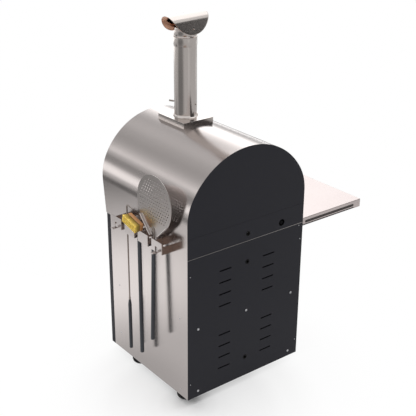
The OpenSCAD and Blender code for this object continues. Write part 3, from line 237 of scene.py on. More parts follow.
def smooth(piece, degrees=35):
    selectOnly(piece)
    bpy.ops.object.shade_smooth_by_angle(angle=math.radians(degrees))
    return piece


def evened(piece, degrees=35):  # smooth, with normals that keep the wide flat faces flat
    return applyModifier(smooth(piece, degrees), "WEIGHTED_NORMAL", "even", keep_sharp=True, weight=80)


def carve(piece, cutter):
    applyModifier(piece, "BOOLEAN", "carve", operation="DIFFERENCE", object=cutter, solver="EXACT")
    bpy.data.objects.remove(cutter)


def joined(name, pieces):
    selectOnly(pieces[0])
    for piece in pieces:
        piece.select_set(True)
    bpy.ops.object.join()
    pieces[0].name = name
    return pieces[0]


def softened(name, node, width, segments=2):  # a copy of a CAD node with its edges eased
    piece = newObject(name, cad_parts[node].data.copy())
    openPiece(piece)
    bpy.ops.mesh.remove_doubles(threshold=near)
    bpy.ops.mesh.dissolve_limited(angle_limit=math.radians(0.5))
    closePiece()
    return evened(easeEdges(piece, width, segments, 40), 40)


def finish(piece, material, body, slot, *nodes):
    piece.data.materials.clear()
    piece.data.materials.append(bpy.data.materials[material])
    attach(piece, body)
    if nodes:
        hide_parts(*nodes)


def dress(material, *nodes):  # gives CAD nodes that stay their finish
    for node in nodes:
        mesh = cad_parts[node].data
        mesh.materials.clear()
        mesh.materials.append(bpy.data.materials[material])


def feedSocket(tree, value, socket):  # a plain value, or another node's output
    if isinstance(value, bpy.types.NodeSocket):
        tree.links.new(value, socket)
    else:
        socket.default_value = value


def feed(tree, node, **values):  # into the node's inputs by name, with _ for a space
    for key, value in values.items():
        feedSocket(tree, value, node.inputs[key.replace("_", " ")])


def newNode(tree, kind, **values):
    node = tree.nodes.new("ShaderNode" + kind)
    feed(tree, node, **values)
    return node


def objectPlace(tree):
    return newNode(tree, "TexCoord").outputs["Object"]


def noiseNode(tree, vector, scale, detail=3.0, rough=0.5):
    node = newNode(tree, "TexNoise", Vector=vector, Scale=scale, Detail=detail, Roughness=rough)
    return node.outputs["Fac"]


def mathNode(tree, operation, *values, clamp=False):
    node = newNode(tree, "Math")
    node.operation = operation
    node.use_clamp = clamp
    for value, socket in zip(values, node.inputs):
        feedSocket(tree, value, socket)
    return node.outputs[0]


def mixNode(tree, factor, first, second):
    node = newNode(tree, "Mix", Factor=factor)
    node.data_type = "RGBA"
    for value, socket in zip((first, second), [s for s in node.inputs if s.type == "RGBA"]):
        feedSocket(tree, value, socket)
    return [s for s in node.outputs if s.type == "RGBA"][0]


def makeSurfaceGroup(name, label, kind, usual, drawPattern):
    # two colours and a roughness that vary together over a pattern, and the pattern's height
    group = bpy.data.node_groups.new(name, "ShaderNodeTree")
    grey = (0.5, 0.5, 0.5, 1)
    for key, socket, value in ((label, kind, usual), ("Base", "Color", grey), ("Second", "Color", grey),
                               ("Roughness", "Float", 0.5), ("Variation", "Float", 0.1)):
        made = group.interface.new_socket(name=key, in_out="INPUT", socket_type="NodeSocket" + socket)
        made.default_value = value
    for key, socket in (("Color", "Color"), ("Roughness", "Float"), ("Height", "Float")):
        group.interface.new_socket(name=key, in_out="OUTPUT", socket_type="NodeSocket" + socket)
    given = group.nodes.new("NodeGroupInput").outputs
    tone, height = drawPattern(group, given[label])
    colour = mixNode(group, tone, given["Base"], given["Second"])
    swing = mathNode(group, "MULTIPLY", mathNode(group, "SUBTRACT", tone, 0.5), given["Variation"])
    roughness = mathNode(group, "ADD", given["Roughness"], swing, clamp=True)
    feed(group, group.nodes.new("NodeGroupOutput"), Color=colour, Roughness=roughness, Height=height)
    return group


def drawStreaks(group, grain):
    spot = objectPlace(group)
    mapping = newNode(group, "Mapping", Vector=spot, Scale=grain)
    streaks = noiseNode(group, mapping.outputs["Vector"], 1.0, 4.0, 0.6)
    clouds = mathNode(group, "MULTIPLY", noiseNode(group, spot, 3.2, 3.0, 0.55), 0.65)
    return mathNode(group, "MULTIPLY_ADD", streaks, 0.35, clouds), streaks


def drawSpecks(group, scale):
    spot = objectPlace(group)
    specks, clouds = noiseNode(group, spot, scale, 2.0), noiseNode(group, spot, 4.0, 4.0, 0.6)
    halves = [mathNode(group, "MULTIPLY", part, 0.5) for part in (specks, clouds)]
    return mathNode(group, "ADD", *halves), specks


def newMaterial(name, **values):  # a material with plain values on its shader's own sockets
    material = bpy.data.materials.new(name)
    material.use_nodes = True
    shader = material.node_tree.nodes["Principled BSDF"]
    feed(material.node_tree, shader, **values)
    return material.node_tree, shader


def addBump(tree, shader, height, strength, distance):
    bump = newNode(tree, "Bump", Strength=strength, Distance=distance, Height=height)
    feed(tree, shader, Normal=bump.outputs["Normal"])


def surfaceMaterial(name, group, bump, distance, base, second, roughness, **values):
    tree, shader = newMaterial(name)
    effect = newNode(tree, "Group")
    effect.node_tree = group
    feed(tree, effect, Base=(*base, 1), Second=(*second, 1), Roughness=roughness, **values)
    feed(tree, shader, Base_Color=effect.outputs["Color"], Roughness=effect.outputs["Roughness"])
    addBump(tree, shader, effect.outputs["Height"], bump, distance)
    return tree, shader


def tintAlong(material, source, way, low, high, tint):
    # blends a tint in where a place or a normal, measured along a way, goes from low to high
    tree = bpy.data.materials[material].node_tree
    base = tree.nodes["Principled BSDF"].inputs["Base Color"]
    along = newNode(tree, "VectorMath")
    along.operation = "DOT_PRODUCT"
    feedSocket(tree, newNode(tree, "TexCoord").outputs[source], along.inputs[0])
    feedSocket(tree, way, along.inputs[1])
    share = newNode(tree, "MapRange", Value=along.outputs["Value"], From_Min=low, From_Max=high)
    feedSocket(tree, mixNode(tree, share.outputs["Result"], base.links[0].from_socket, tint), base)


# metals: two colours, roughness, grain of the brushing in each direction, strength of its relief
metals = {
    "wrapSteel": ((0.56, 0.515, 0.50), (0.51, 0.465, 0.45), 0.2, (6, 420, 6), 0.012),
    "shelfSteel": ((0.455, 0.405, 0.395), (0.43, 0.375, 0.365), 0.24, (420, 6, 420), 0.012),
    "flueSteel": ((0.58, 0.54, 0.52), (0.52, 0.47, 0.44), 0.16, (160, 160, 5), 0.02),
    "capSteel": ((0.57, 0.53, 0.51), (0.51, 0.46, 0.43), 0.19, (6, 200, 200), 0.01),
    "seamSteel": ((0.36, 0.34, 0.33), (0.30, 0.28, 0.27), 0.35, (8, 300, 300), 0.05),
    "vaultSteel": ((0.50, 0.47, 0.45), (0.40, 0.34, 0.29), 0.4, (300, 8, 300), 0.05),
    "barSteel": ((0.70, 0.68, 0.67), (0.62, 0.59, 0.57), 0.2, (300, 300, 20), 0.05),
    "toolSteel": ((0.34, 0.30, 0.28), (0.27, 0.23, 0.205), 0.34, (300, 300, 12), 0.05),
    "inletSteel": ((0.008, 0.008, 0.009), (0.006, 0.006, 0.007), 0.6, (300, 300, 300), 0.05),
    "boltZinc": ((0.66, 0.66, 0.67), (0.55, 0.55, 0.57), 0.3, (400, 400, 400), 0.05),
    "peelMetal": ((0.50, 0.465, 0.45), (0.44, 0.40, 0.385), 0.3, (300, 10, 300), 0.05),
    "brassMetal": ((0.72, 0.52, 0.24), (0.58, 0.39, 0.16), 0.3, (300, 300, 300), 0.05)}

# powder coats, plastics, paints and stone: two colours, roughness, specks, strength of their relief, shine
coats = {
    "panelPowder": ((0.0154, 0.0154, 0.0196), (0.0203, 0.0203, 0.025), 0.5, 900, 0.2, 0.13),
    "framePowder": ((0.038, 0.031, 0.030), (0.050, 0.041, 0.039), 0.45, 900, 0.2, 0.25),
    "blackRubber": ((0.0028, 0.0028, 0.0028), (0.005, 0.005, 0.005), 0.55, 500, 0.2, 0.12),
    "gripPlastic": ((0.013, 0.0155, 0.021), (0.020, 0.023, 0.029), 0.40, 1200, 0.2, 0.5),
    "knobPlastic": ((0.016, 0.016, 0.018), (0.024, 0.024, 0.026), 0.35, 1200, 0.2, 0.5),
    "buttonPlastic": ((0.42, 0.03, 0.02), (0.36, 0.02, 0.015), 0.25, 800, 0.05, 0.5),
    "hearthStone": ((0.66, 0.57, 0.45), (0.52, 0.43, 0.32), 0.85, 260, 0.6, 0.5),
    "blanketWool": ((0.80, 0.79, 0.75), (0.70, 0.68, 0.62), 0.95, 160, 1.0, 0.5),
    "heatBoard": ((0.80, 0.78, 0.73), (0.74, 0.71, 0.65), 0.9, 300, 0.4, 0.5),
    "dialPaint": ((0.80, 0.80, 0.78), (0.76, 0.76, 0.74), 0.5, 900, 0.02, 0.5),
    "markPaint": ((0.03, 0.03, 0.03), (0.05, 0.05, 0.05), 0.5, 900, 0.02, 0.5),
    "needlePaint": ((0.50, 0.04, 0.02), (0.44, 0.03, 0.02), 0.4, 900, 0.02, 0.5),
    # painted shade: the bristles' bed is coloured like their shaded roots
    "bristleRoot": ((0.16, 0.11, 0.03), (0.11, 0.075, 0.02), 0.7, 400, 0.2, 0.5)}


def makeMetals():
    sheet = makeSurfaceGroup("brushedSheet", "Grain", "Vector", (300, 8, 300), drawStreaks)
    for name, (*look, grain, bump) in metals.items():
        tree, shader = surfaceMaterial(name, sheet, bump, 0.0004, *look, Grain=grain, Variation=0.1)
        feed(tree, shader, Metallic=1.0)
    # painted shade: the cap's downward faces are tinted brown for its shaded inside
    tintAlong("capSteel", "Normal", (0, 0, -1), 0.05, 0.2, (0.70, 0.42, 0.30, 1))


def makeCoats():
    speckle = makeSurfaceGroup("speckle", "Scale", "Float", 600.0, drawSpecks)
    for name, (*look, scale, bump, shine) in coats.items():
        tree, shader = surfaceMaterial(name, speckle, bump, 0.0003, *look, Scale=scale, Variation=0.12)
        feed(tree, shader, Specular_IOR_Level=shine)


def makeWood():
    tree, shader = newMaterial("brushWood", Roughness=0.45)
    mapping = newNode(tree, "Mapping", Vector=objectPlace(tree), Scale=(260, 16, 260))
    feed(tree, mapping, Rotation=(math.radians(13), 0, 0))  # along the brush, which hangs at a tilt
    grain = noiseNode(tree, mapping.outputs["Vector"], 1.0, 5.0, 0.62)
    feed(tree, shader, Base_Color=mixNode(tree, grain, (0.40, 0.19, 0.07, 1), (0.23, 0.10, 0.035, 1)))
    addBump(tree, shader, grain, 0.25, 0.0004)


def makeBristleWire():
    # painted shade: the wires darken towards their roots, where shade falls between them, so that the rows
    # read apart
    tree, shader = newMaterial("bristleWire", Roughness=0.62)
    root = newNode(tree, "Attribute")
    root.attribute_name = "paintedRootShade"
    share = mathNode(tree, "POWER", root.outputs["Fac"], 0.7)
    specks = noiseNode(tree, objectPlace(tree), 220.0)
    tint = mixNode(tree, specks, (1.0, 0.83, 0.25, 1), (0.96, 0.73, 0.16, 1))
    feed(tree, shader, Base_Color=mixNode(tree, share, tint, (0.24, 0.135, 0.02, 1)))


def makeGlass():
    tree, shader = newMaterial("windowGlass", Roughness=0.04, IOR=1.5, Metallic=0.0, Transmission_Weight=0.9)
    haze = noiseNode(tree, objectPlace(tree), 14.0)
    feed(tree, shader, Base_Color=mixNode(tree, haze, (0.30, 0.27, 0.23, 1), (0.20, 0.17, 0.14, 1)))


makeMetals()
makeCoats()
makeWood()
makeBristleWire()
makeGlass()
print("materials made:", len(bpy.data.materials))


hood = {"halfWidth": 400, "thick": 2, "lowZ": 45, "seamZ": 895, "springZ": 1085, "shoulderX": 126,
        "crownZ": 1004.5, "turnDegrees": 32.58, "shoulderSteps": 20, "crownSteps": 56, "frontY": -347,
        "backY": 381, "rimY": -390, "rimLean": 0.12, "reachY": -110}


def upCabinet(share):  # the height at a share of the cabinet
    return hood["lowZ"] + share * (hood["seamZ"] - hood["lowZ"])


def makeHoodWrap():
    h = hood
    x = h["halfWidth"] - h["thick"] / 2
    piece = addEdge("hoodWrap", [at(x, y, h["lowZ"]) for y in (h["frontY"], h["backY"])])
    rises = (h["seamZ"] - h["lowZ"], h["springZ"] - h["seamZ"])
    for rise in rises:
        drawOut(0, 0, rise)
    turn = math.radians(h["turnDegrees"])
    bends = ((h["shoulderX"], h["springZ"], turn, h["shoulderSteps"]),
             (0, h["crownZ"], math.pi - 2 * turn, h["crownSteps"]),
             (-h["shoulderX"], h["springZ"], turn, h["shoulderSteps"]))
    for centreX, centreZ, angle, steps in bends:
        bpy.ops.mesh.spin(steps=steps, angle=angle, center=at(centreX, 0, centreZ), axis=(0, 1, 0))
    for rise in rises[::-1]:
        drawOut(0, 0, -rise)
    front, seam = at(0, h["frontY"], 0).y, mm(h["seamZ"])
    pick(piece, "edges", lambda e: all(abs(v.co.y - front) < 1e-5 for v in e.verts) and middle(e).z > seam)
    drawOut(0, h["reachY"], 0)
    pick(piece, "faces", lambda face: middle(face).z > seam)
    rim = at(0, h["rimY"], h["seamZ"])
    bpy.ops.mesh.bisect(plane_co=rim, plane_no=(0, 1, h["rimLean"]), clear_inner=True)
    closePiece()
    thickenSheet(mendFaces(piece), h["thick"])
    finish(evened(easeEdges(piece, 0.5)), "wrapSteel", "stand", "wrap_steel", "outer_shell")


makeHoodWrap()
dress("panelPowder", "back_panel_lower", "access_strip", "back_panel_upper", "corner_posts", "base_pan")
dress("seamSteel", "deck_plate")
dress("wrapSteel", "oven_front")
dress("vaultSteel", "mouth_collar", "inner_vault", "burner_tube")
dress("blanketWool", "insulation_blanket")
dress("heatBoard", "floor_board")
dress("brassMetal", "gas_pipe", "gas_valve")
dress("inletSteel", "gas_inlet")
dress("boltZinc", "door_pins", "oven_hinge_pins", "shelf_pins")
dress("capSteel", "cap_rivets")
print("hood made")


flue = {"x": 0, "y": -170, "radius": 62.5, "wall": 1.5, "lowZ": 1342, "topZ": 1890, "sleeveZ": 1844,
        "flashingZ": 1451, "sides": 96, "spindleZ": 1520, "spindleDegrees": 25}


def flueRound(name, rings):
    return smooth(turned(name, rings, at(flue["x"], flue["y"], 0), sides=flue["sides"], capped=False), 40)


def beadRings(radius, reach, z, rise, steps):  # a half-round bead
    angles = [math.pi * k / steps - math.pi / 2 for k in range(steps + 1)]
    return [(radius + reach * math.cos(angle), z + rise * math.sin(angle)) for angle in angles]


def makeFluePipe():
    f = flue
    r, low, high, sleeve = f["radius"], f["lowZ"], f["topZ"], f["sleeveZ"]
    inner = r - f["wall"]
    rings = [(inner, low), (r, low), (r, sleeve - 8), (r + 0.2, sleeve - 2), (r + 1.5, sleeve + 3),
             (r + 1.5, high - 2.5)]
    rings += beadRings(r + 0.9, 2, high, 2, 8)
    rings += [(r + 0.1, high + 1.2), (r + 0.1, sleeve + 5), (inner, sleeve - 1), (inner, low)]
    pipe = flueRound("fluePipe", rings)
    back = f["y"] - r
    seam = addBlock("flueSeam", at(-4, back - 0.8, f["flashingZ"] + 14), at(4, back + 0.4, sleeve - 10))
    pipe = joined("fluePipe", [pipe, smooth(roundEdges(seam, 0.5), 40)])
    finish(pipe, "flueSteel", "stand", "flue_steel", "flue_pipe")


def makeFlueCollar():
    r, z = flue["radius"] + 0.15, flue["flashingZ"]
    rings = [(r, z), (r + 8, z), (r + 8.3, z + 0.8), (r + 7.6, z + 1.6), (r + 5, z + 2.4), (r + 3, z + 4.4),
             (r + 2, z + 7.5), (r + 1.6, z + 10.6), (r + 0.9, z + 12), (r, z + 12), (r, z)]
    finish(flueRound("flueCollar", rings), "flueSteel", "stand", "flue_steel", "flue_collar")


def makeCapNeck():
    r, z = flue["radius"], flue["topZ"]
    rings = [(r - 1.5, z - 14), (r - 0.05, z - 14), (r - 0.05, z + 2), (r - 1.3, z + 4.2), (r - 1.5, z + 5),
             (r - 0.8, z + 7.5), (r, z + 10), (r, z + 34)]
    rings += beadRings(r, 1.3, z + 37.5, 1.8, 6)
    rings += [(r, z + 40), (r, z + 50), (r - 1.5, z + 50), (r - 1.5, z + 12), (r - 2.6, z + 5), (r - 1.5, z),
              (r - 1.5, z - 14)]
    finish(flueRound("capNeck", rings), "flueSteel", "stand", "flue_steel", "cap_collar")


cap = {"radius": 138.5, "bendRadius": 56, "flankDegrees": 71, "ridgeZ": 2010, "turnDegrees": 6.7,
       "thick": 1.5, "rings": 30, "spokes": 128}


def makeFlueCap():
    # a flat disc of rings, rolled over the pipe by moving its points
    c = cap
    rings = [(c["radius"] * (k + 1) / c["rings"], 0) for k in range(c["rings"])]
    piece = turned("flueCap", rings, Vector(), sides=c["spokes"], capped=False)
    openPiece(piece)
    inner = mm(rings[0][0]) * 1.01
    pick(piece, "verts", lambda v: v.co.length < inner)
    bpy.ops.mesh.edge_face_add()
    bpy.ops.mesh.poke()
    closePiece()
    bend = mm(c["bendRadius"])
    flank = bend * math.radians(c["flankDegrees"])
    turn = Matrix.Rotation(math.radians(c["turnDegrees"]), 4, "Z")
    for vert in piece.data.vertices:
        s, t = vert.co.x, vert.co.y
        angle = min(abs(t), flank) / bend
        past = max(abs(t) - flank, 0)
        across = bend * math.sin(angle) + past * math.cos(angle)
        drop = bend * (1 - math.cos(angle)) + past * math.sin(angle)
        vert.co = turn @ Vector((s, -across if t < 0 else across, -drop))
    piece.data.transform(Matrix.Translation(at(flue["x"], flue["y"], c["ridgeZ"])))
    openPiece(mendFaces(piece, doubles=False))
    mesh = bmesh.from_edit_mesh(piece.data)
    top = max(mesh.faces, key=lambda face: face.calc_center_median().z)
    if top.normal.z < 0:
        bpy.ops.mesh.flip_normals()
    closePiece()
    easeEdges(thickenSheet(piece, c["thick"], -1), 0.4, 2, 60)
    finish(smooth(piece, 40), "capSteel", "stand", "flue_steel", "flue_cap")


def makeDamperSpindle():
    rings = [(3.2, -66.5), (4, -65.5), (4, 74.5), (3.2, 75), (3.2, 76.5), (4.4, 77.4), (5, 78.6), (5, 99.4),
             (4.2, 101.8), (2.6, 102.5)]
    turn = math.radians(flue["spindleDegrees"])
    way = (math.sin(turn), -math.cos(turn), 0)
    piece = turned("damperSpindle", rings, at(0, flue["y"], flue["spindleZ"]), way, 32)
    finish(smooth(piece, 40), "toolSteel", "damper", "tool_steel", "damper_spindle")


makeFluePipe()
makeFlueCollar()
makeCapNeck()
makeFlueCap()
finish(softened("flueFlashing", "flashing", 1.2, 3), "flueSteel", "stand", "flue_steel", "flashing")
dress("vaultSteel", "damper_plate")
makeDamperSpindle()
print("flue made")


rack = {"frontX": 470, "wallX": 400, "thick": 2, "lowZ": 898, "topZ": 962, "seatZ": 943, "lip": 12,
        "bays": 4, "bay": 95, "pitch": 127, "middleY": 18, "foot": 18, "bend": 2.2, "tabBays": (0, 3),
        "tabOffset": 34, "tabWidth": 24, "tabHigh": 30, "tabLong": 30, "tabTip": 6}


def bayMiddle(k):
    return rack["middleY"] + (k - (rack["bays"] - 1) / 2) * rack["pitch"]


def tabEdges(k):
    low = bayMiddle(k) - rack["bay"] / 2 + rack["tabOffset"]
    return low, low + rack["tabWidth"]


def rackPath():
    # mid-line of the folded strip: x, y and the top height at each fold, from the -Y foot to the +Y foot
    r = rack
    half = r["thick"] / 2
    wall, front, seat = r["wallX"] + half, r["frontX"] - half, r["seatZ"]
    slope = front - r["lip"] - half
    points = []
    for k in range(r["bays"]):
        low = bayMiddle(k) - r["bay"] / 2 + half
        high = bayMiddle(k) + r["bay"] / 2 - half
        points += [(wall, low, seat), (slope, low, seat), (front, low, r["topZ"])]
        if k in r["tabBays"]:
            points += [(front, y, r["topZ"]) for y in tabEdges(k)]
        points += [(front, high, r["topZ"]), (slope, high, seat), (wall, high, seat)]
    return [(wall, points[0][1] + r["foot"], seat), *points, (wall, points[-1][1] - r["foot"], seat)]


def makeRackTab(k):  # a tongue folded outwards, with a raised tip
    r = rack
    low, high = tabEdges(k)
    tip = at(r["frontX"] + r["tabLong"], high, r["lowZ"] + r["thick"])
    tab = addBlock("rackTab", at(r["frontX"] - r["thick"], low, r["lowZ"]), tip)
    openPiece(tab)
    edgeX = tip.x - mm(r["thick"])
    bpy.ops.mesh.bisect(plane_co=(edgeX, 0, 0), plane_no=(1, 0, 0))
    pick(tab, "faces", lambda face: face.normal.z > 0.9 and middle(face).x > edgeX)
    bpy.ops.mesh.extrude_region_move(TRANSFORM_OT_translate={"value": span(0, 0, r["tabTip"] - r["thick"])})
    closePiece()
    return easeEdges(tab, 0.7, 3, 40)


def makeToolRack():
    r = rack
    x, y, top = rackPath()[0]
    piece = addEdge("toolRack", [at(x, y, z) for z in (r["lowZ"], top)])
    lowZ, cutZ = mm(r["lowZ"]) + near, mm(r["lowZ"] + r["tabHigh"])
    for nextX, nextY, nextTop in rackPath()[1:]:
        drawOut(nextX - x, nextY - y, 0)
        mesh = bmesh.from_edit_mesh(piece.data)
        for vert in mesh.verts:
            if vert.select and vert.co.z > lowZ:
                vert.co.z = mm(nextTop)
        bmesh.update_edit_mesh(piece.data)
        x, y = nextX, nextY
    # the two notches, cut out of the front plates
    front = at(r["frontX"] - r["thick"] / 2, 0, 0).x
    tabs = [[at(0, edge, 0).y for edge in tabEdges(k)] for k in r["tabBays"]]

    def onTab(part):
        spot = middle(part)
        return abs(spot.x - front) < 1e-5 and any(low < spot.y < high for low, high in tabs)

    pick(piece, "faces", onTab)
    bpy.ops.mesh.bisect(plane_co=(0, 0, cutZ), plane_no=(0, 0, 1))
    pick(piece, "faces", lambda face: onTab(face) and middle(face).z < cutZ)
    bpy.ops.mesh.delete(type="FACE")
    bpy.ops.mesh.select_all(action="SELECT")
    bpy.ops.mesh.remove_doubles(threshold=near)
    closePiece()
    bevelEdges(piece, r["bend"], 4, lambda e: runs(e, "z", 20) and sharp(e, 1.2))  # the folds
    thickenSheet(mendFaces(piece, doubles=False), r["thick"])
    easeEdges(piece, 0.4)
    piece = joined("toolRack", [piece] + [makeRackTab(k) for k in r["tabBays"]])
    finish(evened(piece, 40), "wrapSteel", "stand", "wrap_steel", "tool_rack")


makeToolRack()
print("rack made")


screws = {"big": (7, 2.5), "small": (3, 1.5), "side": (4.5, 1.6), "bigX": 331.2, "bigHigh": (0.041, 0.5),
          "smallX": 383.2, "smallHigh": (0.111, 0.884), "cornerSpot": (-370.4, 881), "rackZ": 920.5,
          "rackFoot": 11, "socketEdge": 0.52, "socketSize": 0.9,
          "sideSpots": ((-277, 0.501), (313, 0.568), (-277, 0.129), (313, 0.044))}


def panHead(size, where, direction):
    # a domed head with a six-sided socket
    s = screws
    radius, height = s[size]
    rings = [(radius * wide, height * high) for wide, high in ((1, 0), (1, 0.35), (0.93, 0.7), (0.75, 0.93),
                                                               (0.5, 1), (0.46, 0.35))]
    piece = turned("screw", rings, Vector(), sides=24)
    for vert in piece.data.vertices:
        if vert.co.xy.length < mm(radius) * s["socketEdge"]:
            angle = math.atan2(vert.co.y, vert.co.x) % (math.pi / 3) - math.pi / 6
            vert.co.xy *= s["socketSize"] / math.cos(angle)
    return place(smooth(piece, 30), where, direction)


def makeBackScrews():
    s = screws
    heights = [upCabinet(share) for share in s["bigHigh"]]
    spots = [("big", x, z) for x in (-s["bigX"], s["bigX"]) for z in heights] + [("big", 0, heights[-1])]
    spots += [("small", x, upCabinet(share)) for x in (-s["smallX"], s["smallX"]) for share in s["smallHigh"]]
    spots += [("small", *s["cornerSpot"])]
    parts = [panHead(size, at(x, backFaceY, z), (0, 1, 0)) for size, x, z in spots]
    finish(joined("backScrews", parts), "boltZinc", "stand", "screw_steel", "back_screws")


def makeSideScrews():
    s = screws
    spots = [(side, side * hood["halfWidth"], y, upCabinet(share))
             for side in (-1, 1) for y, share in s["sideSpots"]]
    foot = rack["bay"] / 2 - s["rackFoot"]
    ys = [bayMiddle(k + 0.5) for k in range(3)] + [bayMiddle(0) - foot, bayMiddle(3) + foot]
    spots += [(1, rack["wallX"] + rack["thick"], y, s["rackZ"]) for y in ys]
    parts = [panHead("side", at(x, y, z), (side, 0, 0)) for side, x, y, z in spots]
    finish(joined("sideScrews", parts), "boltZinc", "stand", "screw_steel", "side_screws")


makeBackScrews()
makeSideScrews()
print("screws made")


grommets = {"y": 381, "heights": (upCabinet(0.145), upCabinet(0.853), hood["seamZ"] + 0.353 * 116),
            "sides": 48}
feet = {"x": 350, "ys": (-150, 293), "radius": 48, "high": 45, "rounding": 28, "sides": 72}


def makeGrommets():
    rings = [(8, -1.4), (13.2, -1.5), (13.9, -1.1), (14, -0.4), (12.1, 0), (12, 0.2), (12, 1.8), (14, 2.4),
             (13.9, 3.0), (13.2, 3.5), (9.2, 3.5), (8.2, 3.0), (8, 2.4), (8, -1.4)]
    parts = [turned("grommet", rings, at(0, grommets["y"], z), (0, 1, 0), grommets["sides"], capped=False)
             for z in grommets["heights"]]
    piece = smooth(joined("hoseGrommets", parts), 40)
    finish(piece, "blackRubber", "stand", "rubber_black", "grommets")


def makeFeet():
    radius, high, rounding = feet["radius"], feet["high"], feet["rounding"]
    rings = [(14, 0), (19, 0)]
    for k in range(1, 11):
        angle = math.radians(9 * k)
        rings.append((radius - rounding + rounding * math.sin(angle), rounding - rounding * math.cos(angle)))
    rings += [(radius, high - 9), (radius - 0.8, high - 8), (radius - 0.8, high - 6.5), (radius, high - 5.5),
              (radius, high - 1), (radius - 1, high)]
    parts = [turned("foot", rings, at(x, y, 0), sides=feet["sides"])
             for x in (-feet["x"], feet["x"]) for y in feet["ys"]]
    finish(smooth(joined("roundFeet", parts), 40), "blackRubber", "stand", "rubber_black", "feet")


makeGrommets()
makeFeet()
print("feet and grommets made")


peel = {"x": 442.4, "y": 145, "leanDegrees": 1.78, "gripLong": 560, "gripRadius": 11, "tangLow": -43,
        "tangHigh": 62, "tangNarrows": 50, "rivets": (12.4, 40.3)}
lean = math.radians(peel["leanDegrees"])
peelSeat = at(peel["x"], peel["y"], rack["seatZ"])
peelAxis = Vector((-math.sin(lean), 0, math.cos(lean)))
bladeNormal = Vector((math.cos(lean), 0, math.sin(lean)))


def ribRings(radius, top, pitch, count):
    rings = []
    for z in [top - pitch * k for k in range(count)]:
        rings += [(radius, z + 2.2), (radius - 0.7, z + 1.2), (radius - 0.7, z - 1.2), (radius, z - 2.2)]
    return rings


def gripRings(length, radius):
    # from the top end down to the bottom: neck, fine ribs near the top, and a domed end
    low = -length
    return [(radius * 0.55, 0), (radius * 0.8, -1), (radius - 0.8, -3.5), (radius, -6.5),
            *ribRings(radius, -16, 7, 5), (radius, low + 24), (radius + 0.25, low + 22),
            (radius + 0.25, low + 4), (radius - 0.8, low + 1.4), (radius - 3, low)]


def makePeelHandle():
    top = peelSeat + peelAxis * mm(peel["tangLow"])
    piece = turned("peelHandle", gripRings(peel["gripLong"], peel["gripRadius"]), top, peelAxis, 40)
    finish(smooth(piece), "gripPlastic", "peel", "grip_black", "peel_handle")


def makePeelTang():
    p = peel
    piece = addBlock("peelTang", span(1, -11, p["tangLow"]), span(4, 11, p["tangHigh"]))
    openPiece(piece)
    bpy.ops.mesh.bisect(plane_co=(0, 0, mm(p["tangNarrows"])), plane_no=(0, 0, 1))
    closePiece()
    taperTop(piece, (1, 0.45), p["tangHigh"])
    dome = [(3.4, 0), (3.4, 0.5), (3.0, 1.1), (2.0, 1.6), (0.8, 1.8)]
    rivets = [turned("rivet", dome, span(4, 0, z), (1, 0, 0), 24) for z in p["rivets"]]
    piece = joined("peelTang", [easeEdges(piece, 0.8, 3, 30)] + rivets)
    piece.data.transform(Matrix.Translation(peelSeat) @ Matrix.Rotation(-lean, 4, "Y"))
    finish(smooth(piece), "toolSteel", "peel", "tool_steel", "peel_tang")


# painted highlight: the flanges' lips, which stand off the blade's face, are tinted near white
lipStart = bladeNormal.dot(peelSeat)
tintAlong("peelMetal", "Object", bladeNormal, lipStart + mm(5.5), lipStart + mm(7), (0.96, 0.93, 0.91, 1))
dress("peelMetal", "peel_blade")
makePeelHandle()
makePeelTang()


brush = {"frontX": 478, "wood": 22, "long": 120, "high": 43, "tilt": 13, "bristle": 32, "cornerY": 65,
         "cornerZ": 962.3, "rounding": 5, "columns": 15, "rows": 5, "wires": 64, "rowDepth": 1.5,
         "wireRadius": 0.42, "wireTip": 0.8, "trim": (0.97, 0.995), "splay": (0.045, 0.06),
         "stray": (0.5, 0.2), "strapLow": (453, 9, 901), "strapHigh": (456, 27, 1004), "strapCorner": 6,
         "gripX": 448.5, "gripLong": 712, "gripRadius": 11}
brushPlace = Matrix.Translation(at(brush["frontX"], brush["cornerY"], brush["cornerZ"])) @ Matrix.Rotation(
    math.radians(-brush["tilt"]), 4, "X")


def makeBrushBack():
    b = brush
    piece = addBlock("brushBack", span(-b["wood"], -b["long"], 0), span(0, 0, b["high"]))
    bevelEdges(piece, b["rounding"], 5, lambda e: runs(e, "x", 10))
    roundEdges(piece, 1.6, 3, lambda e: sharp(e, 1.2))
    piece.data.transform(brushPlace)
    finish(smooth(piece), "brushWood", "brush", "brush_wood", "brush_back")


